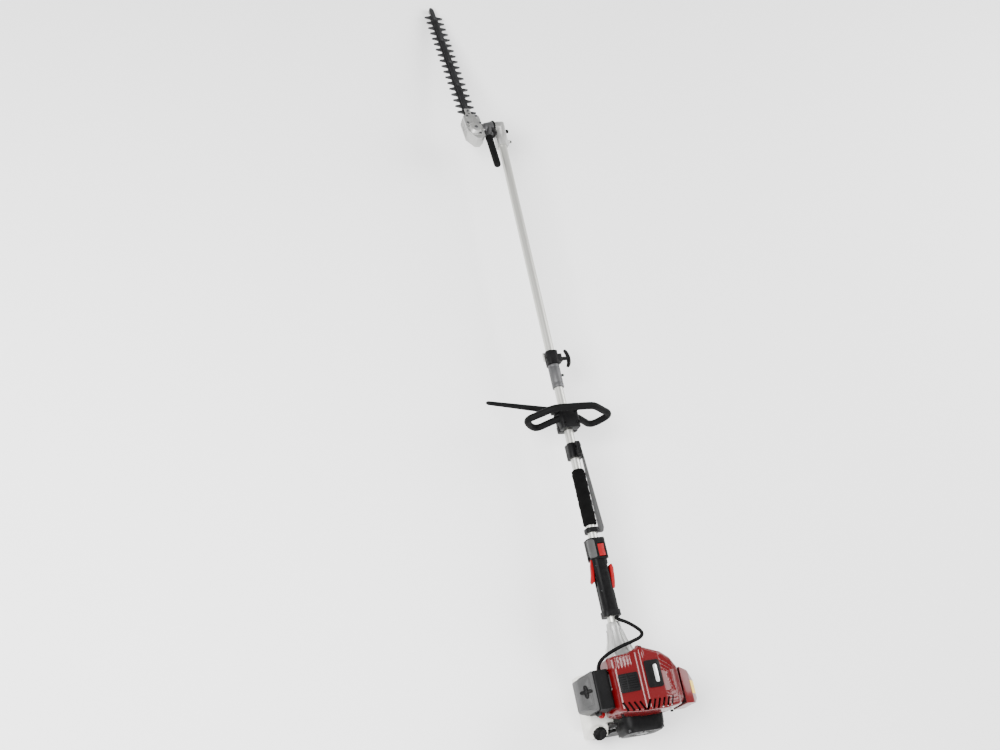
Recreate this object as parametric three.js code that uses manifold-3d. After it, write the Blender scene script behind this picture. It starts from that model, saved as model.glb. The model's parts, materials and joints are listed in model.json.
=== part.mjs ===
// Petrol pole hedge trimmer, lying on its engine stand and the nose of its guide bar.
// Millimetres, +Z up, +X along the pole from the engine to the blades, +Y the operator's left.
// The origin is on the ground, under the middle bar of the stand's flat foot.
import * as THREE from "three";
import { mergeVertices } from "three/addons/utils/BufferGeometryUtils.js";
import Module from "manifold-3d";

const wasm = await Module();
wasm.setup();

// Driving dimensions
const GAP = 0.3; // between pieces that touch
const SMALLEST_EDGE = 0.01; // slivers that the cuts leave are closed up below this
const AXIS_HEIGHT = 138; // the pole's centre line over the ground

const CONE_TOP = 204; // where the pole leaves the clutch housing
const TUBE_R = 13;
const TUBE_BORE = 11.5;
const UPPER_TUBE_END = CONE_TOP + 1570;
const PIVOT_X = CONE_TOP + 1576; // the cutter head's tilt axis
const SHAFT_R = 3.5;

const CYLINDER_X = 42;
const BORE_R = 17;
const CRANK_THROW = 14;
const FLYWHEEL = [74, 90];
const CLUTCH = [98, 112];

const HANDLE = [CONE_TOP + 16, CONE_TOP + 234];
const FOAM = [CONE_TOP + 274, CONE_TOP + 439];
const HANGER = [CONE_TOP + 472, CONE_TOP + 514];
const LOOP = [CONE_TOP + 558, CONE_TOP + 618]; // the saddle's two ends
const SLEEVE = [CONE_TOP + 691, CONE_TOP + 763];
const COUPLING = [CONE_TOP + 763.3, CONE_TOP + 805];
const LOWER_TUBE_END = CONE_TOP + 732; // the tubes meet inside the sleeve
const UPPER_TUBE_START = LOWER_TUBE_END + 2;

const BLADE_Y = 86; // the blades' centre line, beside the pole
const TOOTH_PITCH = 26.8;
const TEETH = 18;
const BLADE_START = 50;
const FIRST_TOOTH = 72;
const NOSE_X = 578;
const NOSE_DROP = 10;
const BLADE_THICK = 2.4;

const noseReach = Math.hypot(NOSE_X, NOSE_DROP);
const HEAD_TILT = Math.asin(AXIS_HEIGHT / noseReach) - Math.atan2(NOSE_DROP, NOSE_X);

// Materials
const finish = (color, roughness, metalness) =>
  new THREE.MeshStandardMaterial({ color, roughness, metalness });
const RED = finish(0xa8121c, 0.25, 0);
const SIGNAL_RED = finish(0xc8202a, 0.35, 0);
const BLACK = finish(0x17181a, 0.5, 0);
const GREY = finish(0x77787a, 0.5, 0);
const FOAM_BLACK = finish(0x121212, 0.95, 0);
const RUBBER = finish(0x1c1c1e, 0.8, 0);
const CAST = finish(0xb9babb, 0.4, 0.9);
const DARK_CAST = finish(0x6d6f70, 0.5, 0.8);
const ALUMINIUM = finish(0xd2d2cf, 0.35, 0.9);
const STEEL = finish(0x8d9094, 0.35, 1);
const BLADE_STEEL = finish(0x3a3c3e, 0.4, 0.9);
const TANK_WHITE = finish(0xe9e7e0, 0.45, 0);

// Solid modelling: every shape is a manifold solid made from a three.js geometry
function solid(geometry) {
  const bare = geometry.index ? geometry.toNonIndexed() : geometry.clone();
  bare.deleteAttribute("normal");
  bare.deleteAttribute("uv");
  const merged = mergeVertices(bare, 1e-4);
  const corners = merged.index.array;
  const kept = [];
  for (let i = 0; i < corners.length; i += 3) {
    const [a, b, c] = corners.slice(i, i + 3);
    if (a !== b && b !== c && c !== a) kept.push(a, b, c);
  }
  const build = (triangles) =>
    new wasm.Manifold(
      new wasm.Mesh({
        numProp: 3,
        vertProperties: merged.attributes.position.array,
        triVerts: new Uint32Array(triangles),
      }),
    );
  const made = build(kept);
  return made.volume() < 0 ? build(kept.reverse()) : made;
}

const join = (first, ...rest) => rest.reduce((whole, next) => whole.add(next), first);
const cut = (first, ...rest) => rest.reduce((whole, next) => whole.subtract(next), first);

const block = ([x0, x1], [y0, y1], [z0, z1]) =>
  solid(
    new THREE.BoxGeometry(x1 - x0, y1 - y0, z1 - z0).translate(
      (x0 + x1) / 2,
      (y0 + y1) / 2,
      (z0 + z1) / 2,
    ),
  );

// A round bar between two points; a second radius makes it a taper.
function rod(from, to, radius, sides = 12, endRadius = radius) {
  const start = new THREE.Vector3(...from);
  const end = new THREE.Vector3(...to);
  const along = end.clone().sub(start);
  const turn = new THREE.Quaternion().setFromUnitVectors(
    new THREE.Vector3(0, 1, 0),
    along.clone().normalize(),
  );
  const bar = new THREE.CylinderGeometry(endRadius, radius, along.length(), sides)
    .applyQuaternion(turn)
    .translate(...start.add(end).multiplyScalar(0.5).toArray());
  return solid(bar);
}

const rodX = (radius, [x0, x1], y = 0, z = 0, sides = 12) =>
  rod([x0, y, z], [x1, y, z], radius, sides);

// A profile of [x, radius] points spun about the X axis.
function spun(profile, sides = 18) {
  const points = profile.map(([x, radius]) => new THREE.Vector2(radius, x));
  return solid(new THREE.LatheGeometry(points, sides).rotateZ(-Math.PI / 2));
}

const ring = (outer, inner, [x0, x1], sides = 16) =>
  spun([[x0, inner], [x0, outer], [x1, outer], [x1, inner], [x0, inner]], sides);

const outline = (points) => new THREE.Shape(points.map(([u, v]) => new THREE.Vector2(u, v)));

// The same outline shrunk or grown about (u, v).
const scaled = (points, [u, v], by) =>
  outline(points.map(([a, b]) => [u + (a - u) * by, v + (b - v) * by]));

const X = new THREE.Vector3(1, 0, 0);
const Y = new THREE.Vector3(0, 1, 0);
const Z = new THREE.Vector3(0, 0, 1);

// Plates cut from an outline: slabX takes (y, z) points, slabY (x, z) and slabZ (x, y).
function slab(shape, thickness, basis, offset, curveSegments = 6) {
  const plate = new THREE.ExtrudeGeometry(shape, {
    depth: thickness,
    bevelEnabled: false,
    curveSegments,
  });
  return solid(plate.applyMatrix4(basis).translate(...offset));
}
const slabX = (shape, [x0, x1], segments) =>
  slab(shape, x1 - x0, new THREE.Matrix4().makeBasis(Y, Z, X), [x0, 0, 0], segments);
const slabY = (shape, [y0, y1], segments) =>
  slab(shape, y1 - y0, new THREE.Matrix4().makeBasis(X, Z, Y.clone().negate()), [0, y1, 0], segments);
const slabZ = (shape, [z0, z1], segments) =>
  slab(shape, z1 - z0, new THREE.Matrix4(), [0, 0, z0], segments);

// A rectangle with round corners, centred on (u, v).
function rounded(width, height, radius, u = 0, v = 0) {
  const shape = new THREE.Shape();
  const right = u + width / 2 - radius;
  const left = u - width / 2 + radius;
  const top = v + height / 2 - radius;
  const bottom = v - height / 2 + radius;
  shape.absarc(right, bottom, radius, -Math.PI / 2, 0, false);
  shape.absarc(right, top, radius, 0, Math.PI / 2, false);
  shape.absarc(left, top, radius, Math.PI / 2, Math.PI, false);
  shape.absarc(left, bottom, radius, Math.PI, 1.5 * Math.PI, false);
  return shape;
}

// A bar of round section along a smooth curve through the points.
function bent(points, radius, { sides = 5, steps = 30 } = {}) {
  const section = new THREE.Shape();
  section.absarc(0, 0, radius, 0, 2 * Math.PI, false);
  const path = new THREE.CatmullRomCurve3(points.map((p) => new THREE.Vector3(...p)));
  return solid(
    new THREE.ExtrudeGeometry(section, { steps, curveSegments: sides, extrudePath: path }),
  );
}

const tool = new THREE.Group();
tool.position.z = AXIS_HEIGHT;
const head = new THREE.Group();
head.position.set(PIVOT_X, 0, 0);
head.rotation.y = HEAD_TILT;
tool.add(head);

function piece(name, shape, material, group = tool) {
  const made = shape.simplify(SMALLEST_EDGE).getMesh();
  const geometry = new THREE.BufferGeometry();
  geometry.setAttribute("position", new THREE.BufferAttribute(made.vertProperties, 3));
  geometry.setIndex(new THREE.BufferAttribute(made.triVerts, 1));
  geometry.computeVertexNormals();
  const mesh = new THREE.Mesh(geometry, material);
  mesh.name = name;
  group.add(mesh);
}

// Engine: crankcase and cylinder
function crankcase() {
  const body = slabX(rounded(84, 84, 14, 0, -2), [16, 68]);
  const chamber = rodX(30, [24, 60]);
  const throat = rod([CYLINDER_X, 0, 0], [CYLINDER_X, 0, 60], BORE_R + 1);
  return cut(body, chamber, throat, rodX(8.3, [0, 100]));
}

function cylinder() {
  const fins = [50, 59, 68, 77, 86].map((z) =>
    block([CYLINDER_X - 27, CYLINDER_X + 27], [-37, 37], [z, z + 3]),
  );
  const barrel = rod([CYLINDER_X, 0, 40.3], [CYLINDER_X, 0, 98], 24, 20);
  const bore = rod([CYLINDER_X, 0, 30], [CYLINDER_X, 0, 93], BORE_R + GAP, 20);
  const plugHole = rodX(5.4, [CYLINDER_X + 5, 90], 0, 83, 10);
  const intake = rod([CYLINDER_X, 8.5, 55.3], [CYLINDER_X, 60, 55.3], 5.8, 10);
  const exhaust = rod([CYLINDER_X, -8.5, 64.3], [CYLINDER_X, -60, 64.3], 6.8, 10);
  return cut(join(barrel, ...fins), bore, plugHole, intake, exhaust);
}

const PIN_Z = 62; // the piston pin at rest, with the piston at the top of its stroke
function piston() {
  const crown = rod([CYLINDER_X, 0, PIN_Z - 10], [CYLINDER_X, 0, 82], BORE_R - GAP, 20);
  const hollow = rod([CYLINDER_X, 0, 40], [CYLINDER_X, 0, 74], 13, 20);
  return cut(crown, hollow);
}
function connectingRod() {
  const shank = block([CYLINDER_X - 3, CYLINDER_X + 3], [-4, 4], [54, 66]);
  const wristPin = rod([CYLINDER_X, -11.5, PIN_Z], [CYLINDER_X, 11.5, PIN_Z], 4, 12);
  return join(shank, wristPin);
}

function crankshaft() {
  const web = (x) =>
    slabX(rounded(34, 46, 15, 0, -1), [x, x + 7], 3);
  const shaft = join(rodX(8, [-4, 31]), rodX(8, [53, FLYWHEEL[0]]));
  const nose = rodX(6, [FLYWHEEL[0], 108]);
  const pin = rodX(4.5, [33, 52], 0, CRANK_THROW, 16);
  return join(web(28), web(49), shaft, nose, pin);
}

function flywheel() {
  const disc = ring(36, 8.4, [FLYWHEEL[0] + GAP, FLYWHEEL[1] - 10], 24);
  const hub = ring(12, 6.4, [FLYWHEEL[0] + GAP, FLYWHEEL[1] + 4], 20);
  const fin = block([FLYWHEEL[1] - 11, FLYWHEEL[1]], [14, 35], [-1, 1]);
  const turned = (i) => fin.rotate([i * 30, 0, 0]);
  return join(disc, hub, ...Array.from({ length: 12 }, (_, i) => turned(i)));
}

function clutchShoes() {
  const shoes = ring(23, 6.3, [CLUTCH[0], CLUTCH[1] - 3], 20);
  const slot = (angle) => block([90, 120], [8, 30], [-1.5, 1.5]).rotate([angle, 0, 0]);
  return cut(shoes, slot(0), slot(180));
}

function clutchDrum() {
  const drum = ring(30, 26, [CLUTCH[0] - 2, CLUTCH[1] + 4], 20);
  const face = ring(30, SHAFT_R + GAP, [CLUTCH[1] + 1, CLUTCH[1] + 4], 20);
  const hub = ring(9, SHAFT_R + GAP, [CLUTCH[1] + 3, CLUTCH[1] + 34], 20);
  return join(drum, face, hub);
}

function clutchHousing() {
  const shell = spun(
    [
      [94, 44], [94, 48], [104, 48], [122, 36], [166, 21], [CONE_TOP, 17.5],
      [CONE_TOP, TUBE_R + GAP], [156, TUBE_R + GAP], [152, 9.5], [128, 9.5],
      [126, 33], [101, 33], [98, 44], [94, 44],
    ],
    20,
  );
  const lug = block([158, 172], [-9, 9], [-26, -16]);
  return join(shell, cut(lug, rod([165, 0, -40], [165, 0, 0], 2.6, 12)));
}

function sparkPlug() {
  const thread = rodX(5, [62, 74], 0, 83, 12);
  const hex = rodX(8, [71, 79], 0, 83, 6);
  const insulator = rodX(6, [79, 91], 0, 83, 14);
  return join(thread, hex, insulator);
}

function muffler() {
  const box = slabX(rounded(44, 74, 12, -94, 42), [-34, 44], 4);
  const pipe = rod([CYLINDER_X, -72, 64], [CYLINDER_X, -38, 64], 8, 14);
  return join(box, pipe);
}
const GUARD_PLAN = [[-46, -116.4], [-46, -148], [-34, -160], [14, -160], [40, -136], [50, -116.4]];
const GUARD_SECTION = [[-116.4, -4], [-116.4, 84], [-140, 80], [-160, 58], [-160, 8], [-148, -4]];
function mufflerGuard() {
  const outer = slabZ(outline(GUARD_PLAN), [-4, 84]).intersect(
    slabX(outline(GUARD_SECTION), [-60, 60]),
  );
  const inner = slabZ(scaled(GUARD_PLAN, [2, -110], 0.92), [-4, 84]).intersect(
    slabX(scaled(GUARD_SECTION, [-110, 40], 0.92), [-60, 60]),
  );
  const mouth = block([-38, 44], [-120, -110], [2, 78]);
  const vent = (i) => block([-26 + 15 * i, -18 + 15 * i], [-170, -148], [16, 50]);
  return cut(outer, inner, mouth, ...[0, 1, 2].map(vent));
}

function carburettor() {
  const body = block([26, 58], [44, 77], [38, 68]);
  const flange = block([28, 56], [38, 45], [46, 66]);
  const bowl = block([28, 56], [46, 66], [26, 40]);
  return cut(join(body, flange, bowl), rod([CYLINDER_X, 30, 55], [CYLINDER_X, 90, 55], 6, 12));
}

// Air filter: a black body on the carburettor and a grey cap held by one knob
const FILTER_X = [-28, 72];
const FILTER_Y = [77.4, 122]; // the body; the cap starts a gap further out
const CAP_Y = FILTER_Y[1] + GAP;
const FILTER_WALL = 4;
const FILTER_INSIDE = [FILTER_X[0] + FILTER_WALL, FILTER_X[1] - FILTER_WALL];
const PRIMER = { y: 94, z: 8, radius: 10 };
function filterBase() {
  const width = FILTER_Y[1] - FILTER_Y[0];
  const body = slabX(rounded(width, 84, 8, FILTER_Y[0] + width / 2, 32), FILTER_X, 3);
  const opening = block(FILTER_INSIDE, [FILTER_Y[0] + FILTER_WALL, 140], [-4, 68]);
  const stud = rod([22, FILTER_Y[0] + 1, 32], [22, FILTER_Y[1] + 0.2, 32], 3, 10);
  const horn = rod([CYLINDER_X, 50, 55], [CYLINDER_X, 90, 55], 6, 12);
  const primerHole = rodX(PRIMER.radius + 0.6, [-40, -20], PRIMER.y, PRIMER.z, 20);
  return cut(join(cut(body, opening), stud), horn, primerHole);
}
function filterCover() {
  const y = CAP_Y;
  const side = [
    [y, -9], [y, 76], [y + 7, 76], [y + 35, 50], [y + 35, 10], [y + 23, -9],
  ];
  const cap = slabX(outline(side), FILTER_X);
  const hollow = slabX(scaled(side, [y - 1, 32], 0.9), FILTER_INSIDE);
  return cut(cap, hollow, block(FILTER_INSIDE, [y - 1, y + 1], [-4, 68]));
}
const KNOB_SEAT = [22, 143.4, 63.5];
const KNOB_OUT = [0, 0.682, 0.731];
function filterKnob() {
  const tip = KNOB_SEAT.map((v, i) => v + KNOB_OUT[i] * 12);
  const [x, y, z] = tip;
  const wing = block([x - 18, x + 18], [y - 4, y + 3], [z - 6, z - 0.5]);
  return join(rod(KNOB_SEAT, tip, 7, 16), wing);
}

function primerBulb() {
  const x = FILTER_X[0];
  const { y, z, radius } = PRIMER;
  return spun(
    [[x - 13, 0], [x - 12, 5], [x - 7, radius - 1], [x - 0.4, radius], [x - 0.4, 0]],
    18,
  ).translate([0, y, z]);
}
const CHOKE = [FILTER_X[0], 113, 28];
function chokeLever() {
  const [x, y, z] = CHOKE;
  const arm = block([x - 10, x - 3], [y - 2, y + 2], [z - 2, z + 26]);
  return join(arm, rodX(6, [x - 6, x - 0.4], y, z, 14));
}

// The red top cover, open below and round the cylinder: its section across the pole (y, z)
// and its plan (x, y) meet in one shell
const SHROUD_SECTION = [
  [77, -20], [77, 84], [66, 96], [8, 111], [2, 121], [-50, 121], [-84, 110], [-113, 82], [-113, -20],
];
const SHROUD_PLAN = [
  [-42, 77], [-54, 30], [-56, -44], [-48, -96], [-36, -113], [50, -113], [74, -86], [92, -58],
  [104, -26], [112, -6], [110, 6], [102, 24], [98, 77],
];
const SHROUD_MIDDLE = { section: [-18, -12], plan: [25, -18] };
const SHROUD_WALL = 0.965; // the inside of the shell, as a share of the outside
function shroud() {
  const outer = slabX(outline(SHROUD_SECTION), [-60, 115]).intersect(
    slabZ(outline(SHROUD_PLAN), [-20, 121]),
  );
  const inner = slabX(scaled(SHROUD_SECTION, SHROUD_MIDDLE.section, SHROUD_WALL), [-60, 115]).intersect(
    slabZ(scaled(SHROUD_PLAN, SHROUD_MIDDLE.plan, SHROUD_WALL), [-30, 121]),
  );
  const below = block([-200, 200], [-200, 200], [-60, -12]);
  const nose = rodX(50, [70, 120]);
  const rear = block([-70, -30], [-74, 50], [-40, 46]);
  const exhaustSide = block([-38, 47], [-130, -96], [-40, 83]);
  const filterSide = block([18, 66], [60, 90], [20, 72]);
  const slot = (y) => block([-70, -36], [y, y + 6], [86, 140]);
  const slots = [52, 40, 28, 16, -14, -25, -36, -47, -58].map(slot);
  const louvres = [0, 1, 2, 3].map((i) => block([-20 + 18 * i, -10 + 18 * i], [-104, -84], [84, 130]));
  return cut(outer, inner, below, nose, rear, exhaustSide, filterSide, ...slots, ...louvres);
}
const ventPanel = () =>
  slabX(outline([[65, 96.7], [65, 99.7], [15, 112.6], [15, 109.6]]), [0, 48]);
const labelPlate = () => slabZ(rounded(70, 42, 5, 35, -25), [121.3, 124.3], 2);

// Recoil starter at the rear
function starterHousing() {
  const side = rounded(118, 96, 26, -12, -6);
  const pan = slabX(side, [-92, -24], 6);
  const hollow = slabX(rounded(110, 88, 22, -12, -6), [-87, -20], 6);
  const hub = rodX(6, [-90, -60]);
  const mouth = rod([-62, 30, -6], [-62, 70, -6], 7, 12);
  return join(cut(pan, hollow, mouth), hub);
}
const starterPulley = () =>
  join(
    ring(30, 6.4, [-58, -55], 20),
    ring(24, 6.4, [-74, -56], 20),
    ring(30, 6.4, [-75, -72], 20),
  );
function starterGrip() {
  const bar = rod([-62, 62, -32], [-62, 62, 20], 6, 14);
  return join(bar, rod([-62, 50, -6], [-62, 62, -6], 4.5, 12));
}

const TANK_X = [-42, 88];
const TANK_TAIL_X = -72; // the filler end reaches back beside the stand
const TANK_SIDE = [
  [TANK_TAIL_X, -120], [TANK_TAIL_X, -84], [TANK_TAIL_X + 27, -57], [TANK_TAIL_X + 27, -50],
  [100, -50], [100, -120],
];
const CAP_SEAT = [-58.5, 80, -70.5]; // on the slope over the filler end
const CAP_OUT = [-Math.SQRT1_2, 0, Math.SQRT1_2];
const alongCap = (from, to, radius, sides) =>
  rod(
    CAP_SEAT.map((v, i) => v + CAP_OUT[i] * from),
    CAP_SEAT.map((v, i) => v + CAP_OUT[i] * to),
    radius,
    sides,
  );
function tankBody(inset, low, high) {
  const main = slabX(rounded(170 - 2 * inset, 58 - 2 * inset, 16 - inset, 24.5, -86), [low, high], 4);
  const tail = slabX(
    rounded(59 - 2 * inset, 58 - 2 * inset, 14 - inset, 80, -86),
    [TANK_TAIL_X + inset, low + 10],
    4,
  );
  const side = slabY(outline(TANK_SIDE), [-100, 140]).translate([inset, 0, -inset]);
  return join(main, tail).intersect(side);
}
function fuelTank() {
  const outer = join(tankBody(0, ...TANK_X), alongCap(-6, 8, 14, 18));
  const inner = tankBody(3, TANK_X[0] + 3, TANK_X[1] - 3);
  return cut(outer, inner, alongCap(-20, 20, 11, 18));
}
const fuelCap = () => join(alongCap(8.3, 20, 19, 24), alongCap(0, 9, 10.6, 18));

// Stand: a flat foot with two windows, hung from the starter behind and the crankcase in front
function stand() {
  const foot = block([-70, 96], [-80, 72], [-AXIS_HEIGHT, -AXIS_HEIGHT + 8]);
  const windowBehind = block([-52, -14], [-60, 52], [-200, 0]);
  const windowAhead = block([14, 76], [-60, 52], [-200, 0]);
  const rear = block([-70, -62], [-66, 46], [-AXIS_HEIGHT, -54.3]);
  const front = block([88.4, 93.6], [-34, 34], [-AXIS_HEIGHT, -44.3]);
  const shelf = block([20, 92], [-30, 30], [-54, -44.3]);
  return join(cut(foot, windowBehind, windowAhead), rear, front, shelf);
}

// Pole and what is clamped to it
const pipe = (from, to) => ring(TUBE_R, TUBE_BORE, [from, to], 20);
const tubeClearance = (range, extra = GAP) => rodX(TUBE_R + extra, range, 0, 0, 20);
const lowerTube = () => pipe(156.5, LOWER_TUBE_END);
const lowerShaft = () => rodX(SHAFT_R, [CLUTCH[1] + 4, LOWER_TUBE_END - 4], 0, 0, 12);

const upperTube = () => pipe(UPPER_TUBE_START, UPPER_TUBE_END);
const PINION_X = PIVOT_X - 14;
const upperShaft = () =>
  join(
    rodX(SHAFT_R, [LOWER_TUBE_END - 2, PINION_X], 0, 0, 12),
    rod([PINION_X - 9, 0, 0], [PINION_X, 0, 0], 9, 16, 6),
  );

const foamGrip = () => ring(19.5, TUBE_R + GAP, FOAM, 20);

const GRIP_END = HANDLE[0] + 160; // the grip widens into the switch housing here
const TRIGGER_PIVOT = [GRIP_END, 19];
const LOCKOUT_PIVOT = [HANDLE[0] + 80, -19];
const SWITCH = { x: HANDLE[0] + 182, y: -6, z: 19, halfLength: 17, halfWidth: 9 };
function handleBody() {
  const grip = slabX(rounded(44, 42, 15), [HANDLE[0], GRIP_END], 4);
  const front = slabX(rounded(52, 44, 12, 0, 1), [GRIP_END, HANDLE[1]], 4);
  const collar = slabX(rounded(50, 44, 14), [HANDLE[0], HANDLE[0] + 16], 4);
  const triggerPocket = block([GRIP_END - 72, GRIP_END + 10], [14.4, 40], [-6, 6]);
  const [lockX] = LOCKOUT_PIVOT;
  const lockoutPocket = block([lockX - 9, lockX + 66], [-40, -14.4], [-5.5, 40]);
  const { x, y, halfLength, halfWidth } = SWITCH;
  const switchPocket = block(
    [x - halfLength - 2, x + halfLength + 2],
    [y - halfWidth - 1, y + halfWidth + 1],
    [14.6, 30],
  );
  return cut(
    join(grip, front, collar),
    tubeClearance([0, 600]),
    triggerPocket,
    lockoutPocket,
    switchPocket,
  );
}
const upperHalf = block([0, 600], [-60, 60], [GAP / 2, 60]);
const lowerHalf = block([0, 600], [-60, 60], [-60, -GAP / 2]);

function trigger() {
  const [x, y] = TRIGGER_PIVOT;
  const shape = outline([
    [x + 7, y - 3], [x + 4, y + 4], [x - 14, y + 9], [x - 40, y + 13], [x - 60, y + 19],
    [x - 66, y + 15], [x - 60, y + 7], [x - 30, y + 2], [x - 4, y - 3],
  ]);
  return slabZ(shape, [-4.8, 4.8]);
}
function lockoutLever() {
  const [x, y] = LOCKOUT_PIVOT;
  const shape = outline([
    [x - 7, y + 3.4], [x - 6, y - 3], [x + 14, y - 8], [x + 50, y - 12], [x + 62, y - 9],
    [x + 60, y - 3], [x + 20, y + 1.2], [x, y + 3.4],
  ]);
  return slabZ(shape, [-4.4, 19]);
}
function stopSwitch() {
  const { x, y, z, halfLength, halfWidth } = SWITCH;
  const shape = outline([
    [x - halfLength, z + 1], [x - halfLength, z + 6], [x, z + 4.6], [x + halfLength, z + 6],
    [x + halfLength, z + 1], [x, z - 3],
  ]);
  return slabY(shape, [y - halfWidth, y + halfWidth]);
}

// The throttle conduit swings out over the clutch housing and dives behind the filter
const CONDUIT = [
  [HANDLE[0] - 2.2, -7, 17], [208, -9, 20], [191, -32, 30], [166, -58, 34], [150, -52, 40],
  [138, -20, 50], [126, 22, 60], [112, 60, 64], [98, 84, 62], [85, 93, 57], [73.6, 94, 55],
];
const throttleConduit = () => bent(CONDUIT, 4.4, { sides: 4, steps: 34 });

const LOOP_X = (LOOP[0] + LOOP[1]) / 2;
const LOOP_BAR_R = 10.8;
const LOOP_LEAN = 0.16; // forward per millimetre of height
const LOOP_HALF = [
  [14, 22], [32, 14], [58, -8], [76, -22], [92, -22], [110, -6], [122, 14], [118, 30], [98, 46],
  [68, 69], [50, 75], [20, 76],
];
function loopHandle() {
  const saddle = slabX(rounded(58, 34, 10, 0, 17.5), LOOP, 4);
  const leaning = (side) => ([y, z]) => [LOOP_X + z * LOOP_LEAN, side * y, z];
  const bar = [...LOOP_HALF.map(leaning(1)), ...[...LOOP_HALF].reverse().map(leaning(-1))];
  const loop = bent(bar, LOOP_BAR_R, { sides: 4, steps: 52 });
  const lowerCut = block([0, 2000], [-29.5, 29.5], [-200, GAP]);
  return cut(join(saddle, loop), tubeClearance([0, 2000]), lowerCut);
}
function loopClamp() {
  const cap = slabX(rounded(58, 44, 12, 0, 0), LOOP, 4);
  const upperCut = block([0, 2000], [-300, 300], [0, 300]);
  const barClearance = block([LOOP_X - 14, LOOP_X + 14], [25, 40], [-20, 1]);
  return cut(cap, tubeClearance([0, 2000]), upperCut, barClearance, barClearance.mirror([0, 1, 0]));
}
const BARRIER_ROOT = [LOOP_X + 26, 30, 18];
const BARRIER_TIP = [LOOP_X + 64, 236, 22];
function barrierBar() {
  const bar = rod(BARRIER_ROOT, BARRIER_TIP, 10, 12, 6);
  const foot = block([LOOP_X + 17, LOOP_X + 30], [29.4, 48], [7, 29]);
  const cover = block([0, 2000], [-100, 29.4], [-100, 100]);
  return cut(join(bar, foot), cover);
}

function hangerBracket() {
  const middle = (HANGER[0] + HANGER[1]) / 2;
  const band = slabX(rounded(40, 42, 12, 0, 4), HANGER, 4);
  const ears = slabY(rounded(38, 30, 10, middle, 32), [-5, 5], 4);
  const eye = rod([middle, -20, 35], [middle, 20, 35], 7.5, 20);
  return cut(join(band, ears), eye, tubeClearance([0, 2000]));
}
const RAIL_CLAMP = [FOAM[0] - 21, FOAM[0] - 8];
function railClamp() {
  const band = slabX(rounded(38, 36, 12, 0, 0), RAIL_CLAMP, 4);
  return cut(band, tubeClearance([0, 2000]));
}
function hipRail() {
  const [back, front] = RAIL_CLAMP;
  const shape = outline([
    [back + 1, -19.4], [front - 1, -19.4], [front - 1, -22], [front + 8, -24],
    [HANGER[0] + 6, -23.6], [HANGER[0] + 6, -20.4], [HANGER[1] - 4, -20.4], [HANGER[1] - 4, -24],
    [HANGER[0], -27], [front, -37], [back + 1, -33],
  ]);
  return slabZ(shape, [-6.5, 6.5]);
}

const PIN_X = COUPLING[0] + 26;
const KNOB_X = COUPLING[0] + 20;
function couplingSleeve() {
  const sleeve = ring(17, TUBE_R + GAP, SLEEVE, 20);
  const bolt = rod([SLEEVE[0] + 40, -15, 0], [SLEEVE[0] + 40, -25, 0], 3.5, 12);
  return cut(join(sleeve, bolt), tubeClearance([0, 2000]));
}
function couplingClamp() {
  const band = slabX(rounded(36, 38, 12), COUPLING, 4);
  const slit = block(COUPLING, [-40, 0], [-1.2, 1.2]);
  const ears = block([KNOB_X - 12, KNOB_X + 12], [-28, -15], [-12, 12]);
  const pinHole = rod([PIN_X, 0, 0], [PIN_X, 60, 0], 3.6, 14);
  return cut(join(band, ears), slit, tubeClearance([0, 2000]), pinHole);
}
function couplingKnob() {
  const stem = rod([KNOB_X, -28.4, 0], [KNOB_X, -48, 0], 6, 14);
  const bar = bent(
    [[KNOB_X - 26, -42, 0], [KNOB_X - 15, -50, 0], [KNOB_X, -53, 0], [KNOB_X + 15, -50, 0],
      [KNOB_X + 26, -42, 0]],
    5.5,
    { sides: 4, steps: 10 },
  );
  return join(stem, bar);
}
function lockPin() {
  const pin = rod([PIN_X, TUBE_R + GAP, 0], [PIN_X, 24, 0], 3.2, 14);
  return join(pin, block([PIN_X - 12, PIN_X + 14], [22, 25.5], [-4, 4]));
}

// Cutter head. The clamp and its detent plate stay on the pole.
function headClamp() {
  const body = slabX(rounded(36, 38, 12), [PIVOT_X - 64, PIVOT_X + 16], 5);
  const eye = rod([PIVOT_X, 0, 0], [PIVOT_X, 17.5, 0], 20, 20);
  const socket = rodX(TUBE_R + GAP, [PIVOT_X - 100, PIVOT_X - 5.5], 0, 0, 20);
  const chamber = rodX(12, [PIVOT_X - 10, PIVOT_X + 11]);
  const side = rod([PIVOT_X, 0, 0], [PIVOT_X, 40, 0], 12, 24);
  const bolt = rod([PIVOT_X - 46, -14, 0], [PIVOT_X - 46, -27, 0], 5, 12);
  const pin = rod([PIVOT_X - 12, -14, 6], [PIVOT_X - 12, -24, 6], 2.5, 10);
  return join(cut(join(body, eye), socket, chamber, side), cut(bolt, socket), cut(pin, chamber));
}
function detentPlate() {
  const plate = rod([PIVOT_X, 18.3, 0], [PIVOT_X, 23.7, 0], 27, 20);
  const bore = rod([PIVOT_X, 0, 0], [PIVOT_X, 40, 0], 12.4, 24);
  const notch = (angle) =>
    block([-2, 2], [10, 30], [24, 30]).rotate([0, angle, 0]).translate([PIVOT_X, 0, 0]);
  return cut(plate, bore, ...[-60, -45, -30, -15, 0, 15, 30, 45].map(notch));
}
function knuckle() {
  const dome = rod([0, 24, 0], [0, 50, 0], 25, 28, 19);
  const neck = rod([0, 48, 0], [0, 60, 0], 17, 24);
  const lug = block([-34, -14], [38, 46], [8, 30]);
  const socket = block([-34, -16], [30, 50], [-9, 9]);
  const bore = rod([0, 0, 0], [0, 80, 0], 6, 16);
  return cut(join(dome, neck, lug, socket), bore);
}
const crossShaft = () =>
  join(
    rod([0, 13.4, 0], [0, 66, 0], 5, 12),
    rod([0, 13.4, 0], [0, 17.6, 0], 7, 16, 10),
    rod([0, 65, 0], [0, 70, 0], 9, 16, 6),
  );
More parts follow.
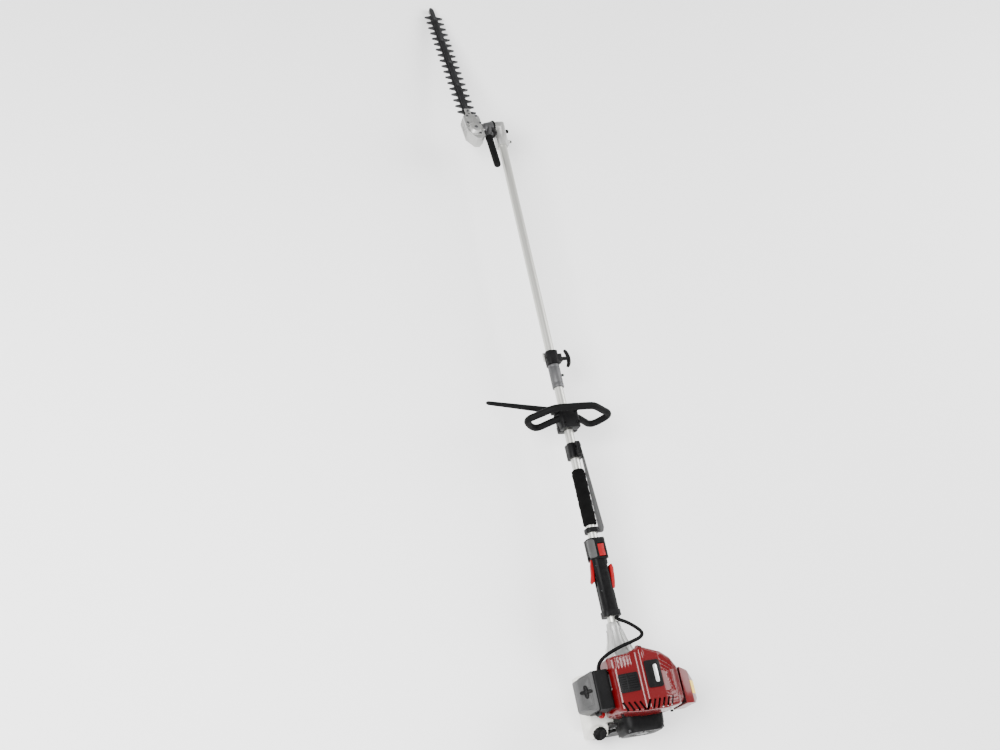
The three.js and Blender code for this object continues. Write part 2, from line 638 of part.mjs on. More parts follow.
function adjustingHandle() {
  return bent(
    [[-35.5, 41, 0], [-74, 42, -1], [-114, 43, -2], [-158, 44, -3]],
    11.5,
    { sides: 6, steps: 6 },
  );
}
function latchLever() {
  const shape = outline([[-32, 18], [-20, 22], [-22, 30], [-52, 36], [-58, 31], [-34, 25]]);
  return slabY(shape, [29, 37.5]);
}

const CASE_X = [-60, 46];
const caseOutline = (inset) => {
  const [back, front] = [CASE_X[0] + inset, CASE_X[1] - inset];
  const [low, high] = [60.5 + inset, 112 - inset];
  return outline([
    [back, low + 14], [back + 14, low], [front - 8, low], [front, low + 10],
    [front, high - 10], [front - 8, high], [back + 30, high], [back, high - 22],
  ]);
};
function gearboxCase() {
  const body = slabZ(caseOutline(0), [-18, 14]);
  const hollow = slabZ(caseOutline(4), [-13, 20]);
  const shaftHole = rod([0, 50, 0], [0, 70, 0], 10, 20);
  const bladeSlot = block([30, 60], [BLADE_Y - 14, BLADE_Y + 14], [-7, 7]);
  const tongue = block([45, 82], [BLADE_Y - 9, BLADE_Y + 9], [6.6, 10]);
  return join(cut(body, hollow, shaftHole, bladeSlot), tongue);
}
function gearboxCover() {
  const plate = slabZ(caseOutline(0), [14.3, 20]);
  const dome = rod([-20, BLADE_Y, 19], [-20, BLADE_Y, 30], 22, 24, 17);
  const bolt = (x, y) => rod([x, y, 19], [x, y, 24], 4, 8);
  return join(plate, dome, bolt(-42, 76), bolt(34, 72), bolt(34, 101), bolt(4, 106), bolt(4, 66));
}
function eccentricGear() {
  const wheel = rod([-20, BLADE_Y, -11], [-20, BLADE_Y, -6], 19, 20);
  const eccentric = rod([-17, BLADE_Y, -7], [-17, BLADE_Y, 3], 13, 24);
  const axle = rod([-20, BLADE_Y, -12.5], [-20, BLADE_Y, 13.5], 5, 16);
  return join(wheel, eccentric, axle);
}

// One blade: a bar with staggered teeth on both sides and slots for the guide bar's studs
const STUD_X = [0, 1, 2, 3, 4].map((i) => 90 + 107 * i);
const BODY_HALF = 12;
const TOOTH_REACH = 30;
function blade([z0, z1]) {
  const edge = (side, firstTooth) => {
    const points = [];
    for (let i = 0; i < TEETH; i += 1) {
      const x = firstTooth + i * TOOTH_PITCH;
      points.push(
        [x - 7, side * BODY_HALF], [x - 1, side * TOOTH_REACH],
        [x + 2.5, side * TOOTH_REACH], [x + 7, side * BODY_HALF],
      );
    }
    return points;
  };
  const end = FIRST_TOOTH + TEETH * TOOTH_PITCH - 10;
  const shape = outline([
    [BLADE_START - 24, -BODY_HALF + 3],
    ...edge(-1, FIRST_TOOTH),
    [end, -BODY_HALF + 4],
    [end + 4, 0],
    [end, BODY_HALF - 4],
    ...edge(1, FIRST_TOOTH + TOOTH_PITCH / 2 - 8).reverse(),
    [BLADE_START - 24, BODY_HALF - 3],
  ]);
  const slots = STUD_X.map((x) => slabZ(rounded(32, 8.4, 4, x, 0), [z0 - 1, z1 + 1], 1));
  return cut(slabZ(shape, [z0, z1]), ...slots).translate([0, BLADE_Y, 0]);
}

function guideBar() {
  const shape = outline([
    [34, -8], [NOSE_X - 12, -8], [NOSE_X - 2, -5], [NOSE_X, 0], [NOSE_X - 2, 5],
    [NOSE_X - 12, 8], [34, 8],
  ]);
  const bar = slabZ(shape, [3, 6]).translate([0, BLADE_Y, 0]);
  const nose = block([NOSE_X - 16, NOSE_X - 3], [BLADE_Y - 5, BLADE_Y + 5], [-NOSE_DROP, 4]);
  const tip = block([NOSE_X - 4, NOSE_X], [BLADE_Y - 4, BLADE_Y + 4], [-NOSE_DROP, 5]);
  const stud = (x) =>
    join(
      rod([x, BLADE_Y, -4], [x, BLADE_Y, 4], 3.4, 10),
      rod([x, BLADE_Y, -5.4], [x, BLADE_Y, -3], 7.5, 14),
      rod([x, BLADE_Y, 5], [x, BLADE_Y, 8.5], 5, 6),
    );
  return join(bar, nose, tip, ...STUD_X.map(stud));
}

// Engine
piece("crankcase", crankcase(), CAST);
piece("cylinder", cylinder(), CAST);
piece("piston", piston(), ALUMINIUM);
piece("connecting_rod", connectingRod(), STEEL);
piece("crankshaft", crankshaft(), STEEL);
piece("flywheel", flywheel(), CAST);
piece("clutch_shoes", clutchShoes(), STEEL);
piece("clutch_drum", clutchDrum(), STEEL);
piece("clutch_housing", clutchHousing(), CAST);
piece("spark_plug", sparkPlug(), TANK_WHITE);
piece("muffler", muffler(), STEEL);
piece("muffler_guard", mufflerGuard(), BLACK);
piece("carburettor", carburettor(), DARK_CAST);
piece("filter_base", filterBase(), BLACK);
piece("filter_cover", filterCover(), GREY);
piece("filter_knob", filterKnob(), BLACK);
piece("primer_bulb", primerBulb(), SIGNAL_RED);
piece("choke_lever", chokeLever(), BLACK);
piece("shroud", shroud(), RED);
piece("vent_panel", ventPanel(), BLACK);
piece("label_plate", labelPlate(), BLACK);
piece("starter_housing", starterHousing(), BLACK);
piece("starter_pulley", starterPulley(), BLACK);
piece("starter_grip", starterGrip(), BLACK);
piece("fuel_tank", fuelTank(), TANK_WHITE);
piece("fuel_cap", fuelCap(), BLACK);
piece("stand", stand(), BLACK);

// Pole and controls
piece("lower_tube", lowerTube(), ALUMINIUM);
piece("lower_drive_shaft", lowerShaft(), STEEL);
piece("foam_grip", foamGrip(), FOAM_BLACK);
piece("handle_shell_upper", handleBody().intersect(upperHalf), BLACK);
piece("handle_shell_lower", handleBody().intersect(lowerHalf), BLACK);
piece("trigger", trigger(), SIGNAL_RED);
piece("lockout_lever", lockoutLever(), SIGNAL_RED);
piece("stop_switch", stopSwitch(), SIGNAL_RED);
piece("throttle_conduit", throttleConduit(), RUBBER);
piece("rail_clamp", railClamp(), BLACK);
piece("hip_rail", hipRail(), GREY);
piece("hanger_bracket", hangerBracket(), BLACK);
piece("loop_handle", loopHandle(), BLACK);
piece("loop_clamp", loopClamp(), BLACK);
piece("barrier_bar", barrierBar(), BLACK);
piece("coupling_sleeve", couplingSleeve(), DARK_CAST);
piece("coupling_clamp", couplingClamp(), BLACK);
piece("coupling_knob", couplingKnob(), BLACK);
piece("lock_pin", lockPin(), STEEL);
piece("upper_tube", upperTube(), ALUMINIUM);
piece("upper_drive_shaft", upperShaft(), STEEL);

// Cutter head
piece("head_clamp", headClamp(), CAST);
piece("detent_plate", detentPlate(), BLACK);
piece("cross_shaft", crossShaft(), STEEL, head);
piece("knuckle", knuckle(), DARK_CAST, head);
piece("adjusting_handle", adjustingHandle(), RUBBER, head);
piece("latch_lever", latchLever(), BLACK, head);
piece("gearbox_case", gearboxCase(), CAST, head);
piece("gearbox_cover", gearboxCover(), CAST, head);
piece("eccentric_gear", eccentricGear(), STEEL, head);
piece("upper_blade", blade([0.2, 0.2 + BLADE_THICK]), BLADE_STEEL, head);
piece("lower_blade", blade([-0.2 - BLADE_THICK, -0.2]), BLADE_STEEL, head);
piece("guide_bar", guideBar(), BLADE_STEEL, head);

export default tool;
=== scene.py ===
import json
import math

import bmesh
import bpy
from mathutils import Matrix, Vector, noise


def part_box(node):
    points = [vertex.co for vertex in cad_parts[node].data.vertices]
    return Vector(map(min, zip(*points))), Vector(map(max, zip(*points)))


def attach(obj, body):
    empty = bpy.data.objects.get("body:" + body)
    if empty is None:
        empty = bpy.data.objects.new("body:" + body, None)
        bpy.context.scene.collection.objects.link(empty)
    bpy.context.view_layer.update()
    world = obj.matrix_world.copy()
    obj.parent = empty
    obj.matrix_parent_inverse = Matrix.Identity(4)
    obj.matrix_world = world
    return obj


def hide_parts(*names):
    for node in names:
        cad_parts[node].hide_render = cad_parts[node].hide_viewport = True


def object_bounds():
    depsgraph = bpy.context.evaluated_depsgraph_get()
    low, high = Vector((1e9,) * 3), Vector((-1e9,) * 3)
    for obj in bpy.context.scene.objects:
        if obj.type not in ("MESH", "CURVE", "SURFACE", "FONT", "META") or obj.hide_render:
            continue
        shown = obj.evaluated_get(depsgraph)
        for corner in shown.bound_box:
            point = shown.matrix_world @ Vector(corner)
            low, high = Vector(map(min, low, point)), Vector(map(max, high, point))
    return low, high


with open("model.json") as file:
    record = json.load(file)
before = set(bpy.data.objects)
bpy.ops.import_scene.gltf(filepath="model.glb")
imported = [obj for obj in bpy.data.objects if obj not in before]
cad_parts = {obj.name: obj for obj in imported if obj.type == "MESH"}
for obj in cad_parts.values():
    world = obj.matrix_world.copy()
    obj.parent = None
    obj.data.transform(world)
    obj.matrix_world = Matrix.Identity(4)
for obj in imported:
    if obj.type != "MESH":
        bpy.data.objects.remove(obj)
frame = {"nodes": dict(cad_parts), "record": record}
cad_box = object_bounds()

NODE_BODY = {
    node: body
    for body, nodes in frame["record"]["behaviour"]["bodies"].items()
    for node in nodes
}
JOINTS = {joint["name"]: joint for joint in frame["record"]["behaviour"]["joints"]}
NODE_SLOT = {part["node"]: part["material_slot"] for part in frame["record"]["subparts"]}


def corners(node):
    low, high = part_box(node)
    return Vector(low), Vector(high)


def middle(node):
    low, high = corners(node)
    return (low + high) / 2


AXIS_Z = middle("lower_tube").z
TUBE_R = (corners("lower_tube")[1].z - corners("lower_tube")[0].z) / 2
PIVOT = Vector(JOINTS["head_tilt"]["pos_m"])
BLADE_DIRECTION = Vector(JOINTS["upper_blade_stroke"]["axis"])
HEAD_TILT = math.atan2(-BLADE_DIRECTION.z, BLADE_DIRECTION.x)
# From the head's own axes (X along the blades, Z up through the gearbox) to the frame
HEAD = Matrix.Translation(PIVOT) @ Matrix.Rotation(HEAD_TILT, 4, "Y")
# From the pole's own axes (origin on its centre line over the stand) to the frame
POLE = Matrix.Translation((0, 0, AXIS_Z))

# ---------------------------------------------------------------- camera, lights, floor

CAMERA_PLACE = Vector((-0.532, 1.523, 3.503))
CAMERA_AZIMUTH = math.radians(-42.48)
CAMERA_DOWN = math.radians(59.2)
CAMERA_ROLL = math.radians(34.71)
CAMERA_LENS = 49.69
SKY_STRENGTH = 0.75
# Name, place, where it points, width of the panel and power in watts
STUDIO_LIGHTS = [
    ("key", (0.2, 2.6, 3.2), (0.9, 0, 0), 2.2, 400),
    ("fill", (1.4, -3.0, 2.4), (1.0, 0, 0.1), 2.5, 200),
    ("tail", (-2.2, -0.4, 1.8), (0, 0, 0.15), 1.2, 70),
]
FLOOR_HALF = 30
FLOOR_GAP = 0.0005
FLOOR_COLOUR = (0.93, 0.93, 0.93, 1)


def make_camera():
    """Stands the camera over the operator's left, turned so that the pole runs up the picture."""
    data = bpy.data.cameras.new("camera")
    data.lens = CAMERA_LENS
    data.sensor_width = 36
    data.clip_end = 50
    camera = bpy.data.objects.new("camera", data)
    bpy.context.scene.collection.objects.link(camera)
    flat = math.cos(CAMERA_DOWN)
    ahead = Vector((math.cos(CAMERA_AZIMUTH), math.sin(CAMERA_AZIMUTH), 0))
    look = ahead * flat - Vector((0, 0, math.sin(CAMERA_DOWN)))
    right = look.cross(Vector((0, 0, 1))).normalized()
    up = right.cross(look)
    right_rolled = right * math.cos(CAMERA_ROLL) + up * math.sin(CAMERA_ROLL)
    up_rolled = up * math.cos(CAMERA_ROLL) - right * math.sin(CAMERA_ROLL)
    turn = Matrix((right_rolled, up_rolled, -look)).transposed().to_4x4()
    camera.matrix_world = Matrix.Translation(CAMERA_PLACE) @ turn
    bpy.context.scene.camera = camera


def area_light(name, place, target, size, power):
    data = bpy.data.lights.new(name, "AREA")
    data.energy = power
    data.size = size
    lamp = bpy.data.objects.new(name, data)
    bpy.context.scene.collection.objects.link(lamp)
    lamp.location = place
    lamp.rotation_euler = (Vector(target) - Vector(place)).to_track_quat("-Z", "Y").to_euler()


def make_stage():
    world = bpy.data.worlds.new("studio")
    bpy.context.scene.world = world
    world.use_nodes = True
    sky = world.node_tree.nodes["Background"]
    sky.inputs["Color"].default_value = (1, 1, 1, 1)
    sky.inputs["Strength"].default_value = SKY_STRENGTH
    for light in STUDIO_LIGHTS:
        area_light(*light)
    floor_mesh = bpy.data.meshes.new("floor")
    half = FLOOR_HALF
    floor_corners = [(-half, -half, 0), (half, -half, 0), (half, half, 0), (-half, half, 0)]
    floor_mesh.from_pydata(floor_corners, [], [(0, 1, 2, 3)])
    floor = bpy.data.objects.new("floor", floor_mesh)
    bpy.context.scene.collection.objects.link(floor)
    floor.location.z = cad_box[0][2] - FLOOR_GAP
    paint = bpy.data.materials.new("floor_paint")
    paint.use_nodes = True
    shader = paint.node_tree.nodes["Principled BSDF"]
    shader.inputs["Base Color"].default_value = FLOOR_COLOUR
    shader.inputs["Roughness"].default_value = 0.9
    floor_mesh.materials.append(paint)


# ---------------------------------------------------------------- materials

MATERIALS = {}
COAT_ROUGHNESS = 0.1
METAL_SHINE = 0.5
GRAIN_DEPTH = 0.0006


def surface(
    name, colour, rough, metal=0.0, grain=900.0, bump=0.15, tint=0.12, stretch=(1, 1, 1), coat=0.0,
    wear=0.0, translucent=0.0, speckle=0.0, shine=0.3,
):
    """A procedural finish: a mottled colour, a roughness that varies, and a fine grain in relief."""
    made = bpy.data.materials.new(name)
    made.use_nodes = True
    nodes, links = made.node_tree.nodes, made.node_tree.links
    shader = nodes["Principled BSDF"]
    shader.inputs["Metallic"].default_value = metal
    shader.inputs["Specular IOR Level"].default_value = METAL_SHINE if metal else shine
    shader.inputs["Coat Weight"].default_value = coat
    shader.inputs["Coat Roughness"].default_value = COAT_ROUGHNESS
    shader.inputs["Transmission Weight"].default_value = translucent
    where = nodes.new("ShaderNodeTexCoord")
    place = nodes.new("ShaderNodeMapping")
    place.inputs["Scale"].default_value = stretch
    links.new(where.outputs["Object"], place.inputs["Vector"])

    def noise_node(scale, detail):
        node = nodes.new("ShaderNodeTexNoise")
        node.inputs["Scale"].default_value = scale
        node.inputs["Detail"].default_value = detail
        links.new(place.outputs["Vector"], node.inputs["Vector"])
        return node

    mottle = noise_node(grain / 30, 5)
    fine = noise_node(grain, 3)
    ramp = nodes.new("ShaderNodeValToRGB")
    dark = [c * (1 - tint) for c in colour]
    light = [min(1, c * (1 + tint) + 0.002 * tint) for c in colour]
    ramp.color_ramp.elements[0].position = 0.3
    ramp.color_ramp.elements[1].position = 0.7
    ramp.color_ramp.elements[0].color = (*dark, 1)
    ramp.color_ramp.elements[1].color = (*light, 1)
    links.new(mottle.outputs["Fac"], ramp.inputs["Fac"])
    colour_out = ramp.outputs["Color"]
    if wear:
        geometry = nodes.new("ShaderNodeNewGeometry")
        edge = nodes.new("ShaderNodeValToRGB")
        edge.color_ramp.elements[0].position = 0.51
        edge.color_ramp.elements[1].position = 0.56
        links.new(geometry.outputs["Pointiness"], edge.inputs["Fac"])
        worn = nodes.new("ShaderNodeMix")
        worn.data_type = "RGBA"
        worn.inputs["B"].default_value = (*[min(1, c * 1.6 + 0.02) for c in colour], 1)
        amount = nodes.new("ShaderNodeMath")
        amount.operation = "MULTIPLY"
        amount.inputs[1].default_value = wear
        links.new(edge.outputs["Color"], amount.inputs[0])
        links.new(amount.outputs["Value"], worn.inputs["Factor"])
        links.new(colour_out, worn.inputs["A"])
        colour_out = worn.outputs["Result"]
    if speckle:
        cells = nodes.new("ShaderNodeTexVoronoi")
        cells.inputs["Scale"].default_value = grain * 0.7
        links.new(place.outputs["Vector"], cells.inputs["Vector"])
        speck = nodes.new("ShaderNodeMix")
        speck.data_type = "RGBA"
        speck.blend_type = "MULTIPLY"
        speck.inputs["Factor"].default_value = speckle
        links.new(colour_out, speck.inputs["A"])
        links.new(cells.outputs["Distance"], speck.inputs["B"])
        colour_out = speck.outputs["Result"]
    links.new(colour_out, shader.inputs["Base Color"])
    spread = nodes.new("ShaderNodeMapRange")
    spread.inputs["To Min"].default_value = max(0.03, rough * 0.8)
    spread.inputs["To Max"].default_value = min(1, rough * 1.25)
    links.new(mottle.outputs["Fac"], spread.inputs["Value"])
    links.new(spread.outputs["Result"], shader.inputs["Roughness"])
    relief = nodes.new("ShaderNodeBump")
    relief.inputs["Strength"].default_value = bump
    relief.inputs["Distance"].default_value = GRAIN_DEPTH
    links.new(fine.outputs["Fac"], relief.inputs["Height"])
    links.new(relief.outputs["Normal"], shader.inputs["Normal"])
    MATERIALS[name] = made
    return made


def make_materials():
    surface(
        "red_plastic", (0.078, 0.0004, 0.0014), 0.28,
        grain=260, bump=0.03, tint=0.06, coat=0.3, wear=0.1, shine=0.15,
    )
    surface("signal_red", (0.19, 0.002, 0.004), 0.38, grain=1400, bump=0.1, tint=0.1, wear=0.15, shine=0.15)
    surface(
        "black_plastic", (0.0025, 0.0025, 0.0027), 0.42,
        grain=2200, bump=0.22, tint=0.3, wear=0.2, shine=0.07,
    )
    surface(
        "grey_plastic", (0.045, 0.045, 0.045), 0.45,
        grain=2000, bump=0.18, tint=0.12, wear=0.2, shine=0.12,
    )
    surface(
        "foam", (0.0025, 0.0025, 0.0025), 0.95,
        grain=1500, bump=0.9, tint=0.35, speckle=0.4, shine=0.05,
    )
    surface("black_rubber", (0.0035, 0.0035, 0.0037), 0.62, grain=1600, bump=0.3, tint=0.2, shine=0.06)
    surface("cast_alloy", (0.36, 0.36, 0.35), 0.42, 0.85, grain=1300, bump=0.35, tint=0.12, wear=0.3)
    surface("dark_alloy", (0.07, 0.07, 0.072), 0.48, 0.7, grain=1400, bump=0.35, tint=0.18, wear=0.3)
    # The drawn tubes and the ground steel have a grain that runs along them
    surface(
        "tube_aluminium", (0.47, 0.47, 0.44), 0.36, 0.75,
        grain=900, bump=0.06, tint=0.05, stretch=(0.04, 1, 1),
    )
    surface("steel", (0.40, 0.40, 0.41), 0.32, 1.0, grain=1200, bump=0.12, tint=0.12, stretch=(0.2, 1, 1))
    surface(
        "blade_steel", (0.010, 0.010, 0.011), 0.38, 0.6,
        grain=1500, bump=0.12, tint=0.3, stretch=(1, 0.15, 1), wear=0.7,
    )
    surface("tank_plastic", (0.80, 0.79, 0.74), 0.4, grain=900, bump=0.1, tint=0.04, translucent=0.25)
    surface("label_silver", (0.62, 0.63, 0.64), 0.3, 0.6, grain=900, bump=0.04, tint=0.06)
    surface("label_yellow", (0.80, 0.52, 0.01), 0.4, grain=900, bump=0.04, tint=0.08)
    surface("zinc", (0.50, 0.50, 0.48), 0.3, 1.0, grain=1500, bump=0.12, tint=0.12)


# ---------------------------------------------------------------- mesh helpers

SHARP = math.radians(32)
SAME_PLACE = 1e-6


def finish_mesh(bm, name, body, material, replaced=(), bevel=0.0, segments=2):
    """Turns a bmesh into a piece that rides on a body, with soft edges and a finish."""
    bmesh.ops.remove_doubles(bm, verts=bm.verts, dist=SAME_PLACE)
    bmesh.ops.recalc_face_normals(bm, faces=bm.faces)
    mesh = bpy.data.meshes.new(name)
    bm.to_mesh(mesh)
    bm.free()
    piece = bpy.data.objects.new(name, mesh)
    bpy.context.scene.collection.objects.link(piece)
    if bevel:
        soften = piece.modifiers.new("soften", "BEVEL")
        soften.width = bevel
        soften.segments = segments
        soften.limit_method = "ANGLE"
        soften.angle_limit = SHARP
        soften.harden_normals = False
    bake_modifiers(piece)
    shade(piece)
    piece.data.materials.clear()
    piece.data.materials.append(MATERIALS[material])
    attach(piece, body)
    if replaced:
        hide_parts(*replaced)
    return piece


def shade(piece):
    """Smooth over round faces, with real edges kept crisp."""
    piece.data.shade_smooth()
    piece.data.set_sharp_from_angle(angle=SHARP)


def bake_modifiers(piece):
    """Applies the modifiers that shaped the piece, so its own mesh is the final one."""
    if not piece.modifiers:
        return
    graph = bpy.context.evaluated_depsgraph_get()
    made = bpy.data.meshes.new_from_object(piece.evaluated_get(graph))
    piece.modifiers.clear()
    old = piece.data
    piece.data = made
    bpy.data.meshes.remove(old)


def add_lathe(bm, profile, sides=64, turn=None):
    """Spins a list of (x, radius) round the X axis; a profile that ends on the axis is closed there."""
    rings = []
    for x, radius in profile:
        if radius < 1e-6:
            rings.append([bm.verts.new((x, 0, 0))])
            continue
        rings.append([])
        for i in range(sides):
            angle = i * (2 * math.pi / sides)
            rings[-1].append(bm.verts.new((x, radius * math.cos(angle), radius * math.sin(angle))))
    made = [vertex for ring in rings for vertex in ring]
    for a, b in zip(rings, rings[1:]):
        for i in range(sides):
            j = (i + 1) % sides
            if len(a) == 1 and len(b) > 1:
                bm.faces.new((a[0], b[j], b[i]))
            elif len(b) == 1 and len(a) > 1:
                bm.faces.new((a[i], a[j], b[0]))
            elif len(a) > 1:
                bm.faces.new((a[i], a[j], b[j], b[i]))
    if turn is not None:
        bmesh.ops.transform(bm, matrix=turn, verts=made)
    return made


def join_rings(bm, rings):
    """Fills the bands between rings of points that match one to one."""
    for a, b in zip(rings, rings[1:]):
        for i in range(len(a)):
            j = (i + 1) % len(a)
            bm.faces.new((a[i], a[j], b[j], b[i]))


def pipe_profile(x0, x1, outer, inner, edge=0.0006):
    return [
        (x0, inner), (x0, outer - edge), (x0 + edge, outer), (x1 - edge, outer), (x1, outer - edge),
        (x1, inner), (x0, inner),
    ]


def add_prism(bm, outline, low, high, plane="XZ"):
    """Raises an outline between two heights along the axis that its plane leaves out."""
    def place(u, v, w):
        return {"XY": (u, v, w), "XZ": (u, w, v), "YZ": (w, u, v)}[plane]

    bottom = [bm.verts.new(place(u, v, low)) for u, v in outline]
    top = [bm.verts.new(place(u, v, high)) for u, v in outline]
    bm.faces.new(bottom)
    bm.faces.new(top)
    count = len(outline)
    for i in range(count):
        j = (i + 1) % count
        bm.faces.new((bottom[i], bottom[j], top[j], top[i]))
    return bottom + top


def round_rect(width, height, radius, u=0.0, v=0.0, steps=6):
    points = []
    for corner in range(4):
        cu = (width / 2 - radius) * (1 if corner in (0, 3) else -1)
        cv = (height / 2 - radius) * (1 if corner in (0, 1) else -1)
        for i in range(steps + 1):
            angle = math.pi / 2 * (corner + i / steps)
            points.append((u + cu + radius * math.cos(angle), v + cv + radius * math.sin(angle)))
    return points


def add_box(bm, low, high):
    base = [(low[0], low[1]), (high[0], low[1]), (high[0], high[1]), (low[0], high[1])]
    return add_prism(bm, base, low[2], high[2], "XY")


def even_line(start, end, steps):
    """A straight line of evenly spaced points."""
    start, end = Vector(start), Vector(end)
    return [start.lerp(end, t / steps) for t in range(steps + 1)]


def rib_arc(x, wide, tall, start, sweep, steps):
    """An arc across the top of the pole at x, in degrees from the operator's left."""
    angles = [math.radians(start + sweep * t / steps) for t in range(steps + 1)]
    return [Vector((x, wide * math.cos(a), AXIS_Z + tall * math.sin(a))) for a in angles]


def curve_points(points, count):
    """A smooth Catmull-Rom line through the points."""
    points = [Vector(p) for p in points]
    padded = [2 * points[0] - points[1], *points, 2 * points[-1] - points[-2]]
    line = []
    for step in range(count + 1):
        where = step / count * (len(points) - 1)
        i = min(int(where), len(points) - 2)
        t = where - i
        a, b, c, d = padded[i : i + 4]
        square = (2 * a - 5 * b + 4 * c - d) * t * t
        cube = (3 * b - a - 3 * c + d) * t ** 3
        line.append(0.5 * ((2 * b) + (c - a) * t + square + cube))
    return line


def add_sweep(bm, line, radius, sides=20, flat=1.0):
    """A round or oval bar along a line of points; radius may be a function of the share of its length."""
    size = radius if callable(radius) else lambda share: radius
    forward = (line[1] - line[0]).normalized()
    side = forward.cross(Vector((0, 0, 1)))
    side = (side if side.length > 0.1 else forward.cross(Vector((0, 1, 0)))).normalized()
    rings = []
    for i, point in enumerate(line):
        ahead = line[min(i + 1, len(line) - 1)] - line[max(i - 1, 0)]
        forward = ahead.normalized()
        side = (side - forward * side.dot(forward)).normalized()
        up = side.cross(forward)
        r = size(i / (len(line) - 1))
        rings.append(
            [
                bm.verts.new(point + side * r * math.cos(a) + up * r * flat * math.sin(a))
                for a in (2 * math.pi * k / sides for k in range(sides))
            ]
        )
    join_rings(bm, rings)
    bm.faces.new(rings[0])
    bm.faces.new(list(reversed(rings[-1])))


def facing(place, out, own=(0, 0, 1)):
    """The frame at a place whose own direction points out."""
    return Matrix.Translation(place) @ Vector(own).rotation_difference(Vector(out)).to_matrix().to_4x4()


def joint_frame(name):
    """The frame at a joint, with Z along its axis."""
    joint = JOINTS[name]
    return facing(Vector(joint["pos_m"]), Vector(joint["axis"]).normalized())


def add_bolt(bm, place, out, radius, height):
    """A socket-head bolt on a surface, pointing out of it."""
    rim = radius * 0.12
    head = [(0, 0), (0, radius), (height - rim, radius), (height, radius - rim)]
    socket = [(height, radius * 0.55), (height * 0.4, radius * 0.5), (height * 0.4, 0)]
    add_lathe(bm, head + socket, 18, facing(place, out, (1, 0, 0)))


def cut_with(piece, cutter_bm):
    """Cuts a closed tool out of a piece and removes the tool."""
    bmesh.ops.recalc_face_normals(cutter_bm, faces=cutter_bm.faces)
    mesh = bpy.data.meshes.new("cutter")
    cutter_bm.to_mesh(mesh)
    cutter_bm.free()
    tool = bpy.data.objects.new("cutter", mesh)
    bpy.context.scene.collection.objects.link(tool)
    cut = piece.modifiers.new("cut", "BOOLEAN")
    cut.operation = "DIFFERENCE"
    cut.solver = "EXACT"
    cut.use_self = True
    cut.object = tool
    bake_modifiers(piece)
    bpy.data.objects.remove(tool)


def refined(node, material, bevel=0.0007, segments=2):
    """The node's own shape with its flats joined up and its edges rounded over."""
    bm = bmesh.new()
    bm.from_mesh(frame["nodes"][node].data)
    bmesh.ops.remove_doubles(bm, verts=bm.verts, dist=1e-5)
    bmesh.ops.dissolve_limit(bm, angle_limit=math.radians(1), verts=bm.verts, edges=bm.edges)
    return finish_mesh(
        bm, node + "_body", NODE_BODY[node], material, (node,),
        bevel=bevel, segments=segments,
    )


# ---------------------------------------------------------------- engine top cover

ENGINE = "engine_and_pole"
# Height over the pole's centre line from left to right across the cover, as (y, height)
SHROUD_TOP = [
    (0.077, 0.082), (0.066, 0.096), (0.008, 0.111), (0.002, 0.121), (-0.050, 0.121), (-0.084, 0.110),
    (-0.113, 0.084),
]
# The cover's outline, looking down on it
SHROUD_PLAN = [
    (-0.042, 0.077), (-0.050, 0.046), (-0.055, 0.0), (-0.056, -0.044), (-0.048, -0.096),
    (-0.036, -0.113), (0.050, -0.113), (0.074, -0.086), (0.092, -0.058), (0.104, -0.026),
    (0.111, -0.008), (0.1115, -0.001), (0.107, 0.010), (0.101, 0.026), (0.098, 0.077),
]
SHROUD_HUB = Vector((0.025, -0.018))
SHROUD_SKIN = 0.0012
SHROUD_WALL = 0.0024
EDGE_ROUND = 0.009
FIN_PITCH, FIN_RISE, FIN_REACH = 0.011, 0.0042, 0.050
RIB_PITCH, RIB_RISE = 0.0082, 0.0026


def top_height(y):
    """Height of the cover's top over the pole's centre line, with its creases eased."""
    total = 0.0
    for shift in (-0.003, -0.0015, 0, 0.0015, 0.003):
        at = max(SHROUD_TOP[-1][0], min(SHROUD_TOP[0][0], y + shift))
        for (y0, z0), (y1, z1) in zip(SHROUD_TOP, SHROUD_TOP[1:]):
            if y1 <= at <= y0:
                total += z0 + (z1 - z0) * (y0 - at) / (y0 - y1)
                break
    return total / 5


def plan_radius(angle):
    """Distance from the hub to the cover's outline, looking down on it."""
    way = Vector((math.cos(angle), math.sin(angle)))
    best = 0.0
    for a, b in zip(SHROUD_PLAN, SHROUD_PLAN[1:] + SHROUD_PLAN[:1]):
        p, q = Vector(a) - SHROUD_HUB, Vector(b) - SHROUD_HUB
        edge = q - p
        cross = way.x * edge.y - way.y * edge.x
        if abs(cross) < 1e-12:
            continue
        reach = (p.x * edge.y - p.y * edge.x) / cross
        along = (p.x * way.y - p.y * way.x) / cross
        if reach > 0 and -1e-6 <= along <= 1 + 1e-6:
            best = max(best, reach)
    return best


def shroud_relief(x, y, inward):
    """How far the skin stands up: stepped fins round the right shoulder and fine ribs at the front left."""
    out = 0.0
    if y < -0.050 and x > -0.04:
        fade = min(1.0, (-0.050 - y) / 0.006) * min(1.0, (x + 0.04) / 0.02)
        steps = inward / FIN_PITCH
        saw = steps - math.floor(steps)
        if inward < FIN_REACH:
            out += fade * FIN_RISE * (min(1.0, saw * 6) - saw)
    if 0.022 < y < 0.074 and x > 0.06:
        fade = min(1.0, (x - 0.06) / 0.012)
        out += fade * RIB_RISE * (0.5 + 0.5 * math.cos(2 * math.pi * (y - 0.022) / RIB_PITCH)) ** 2
    return out


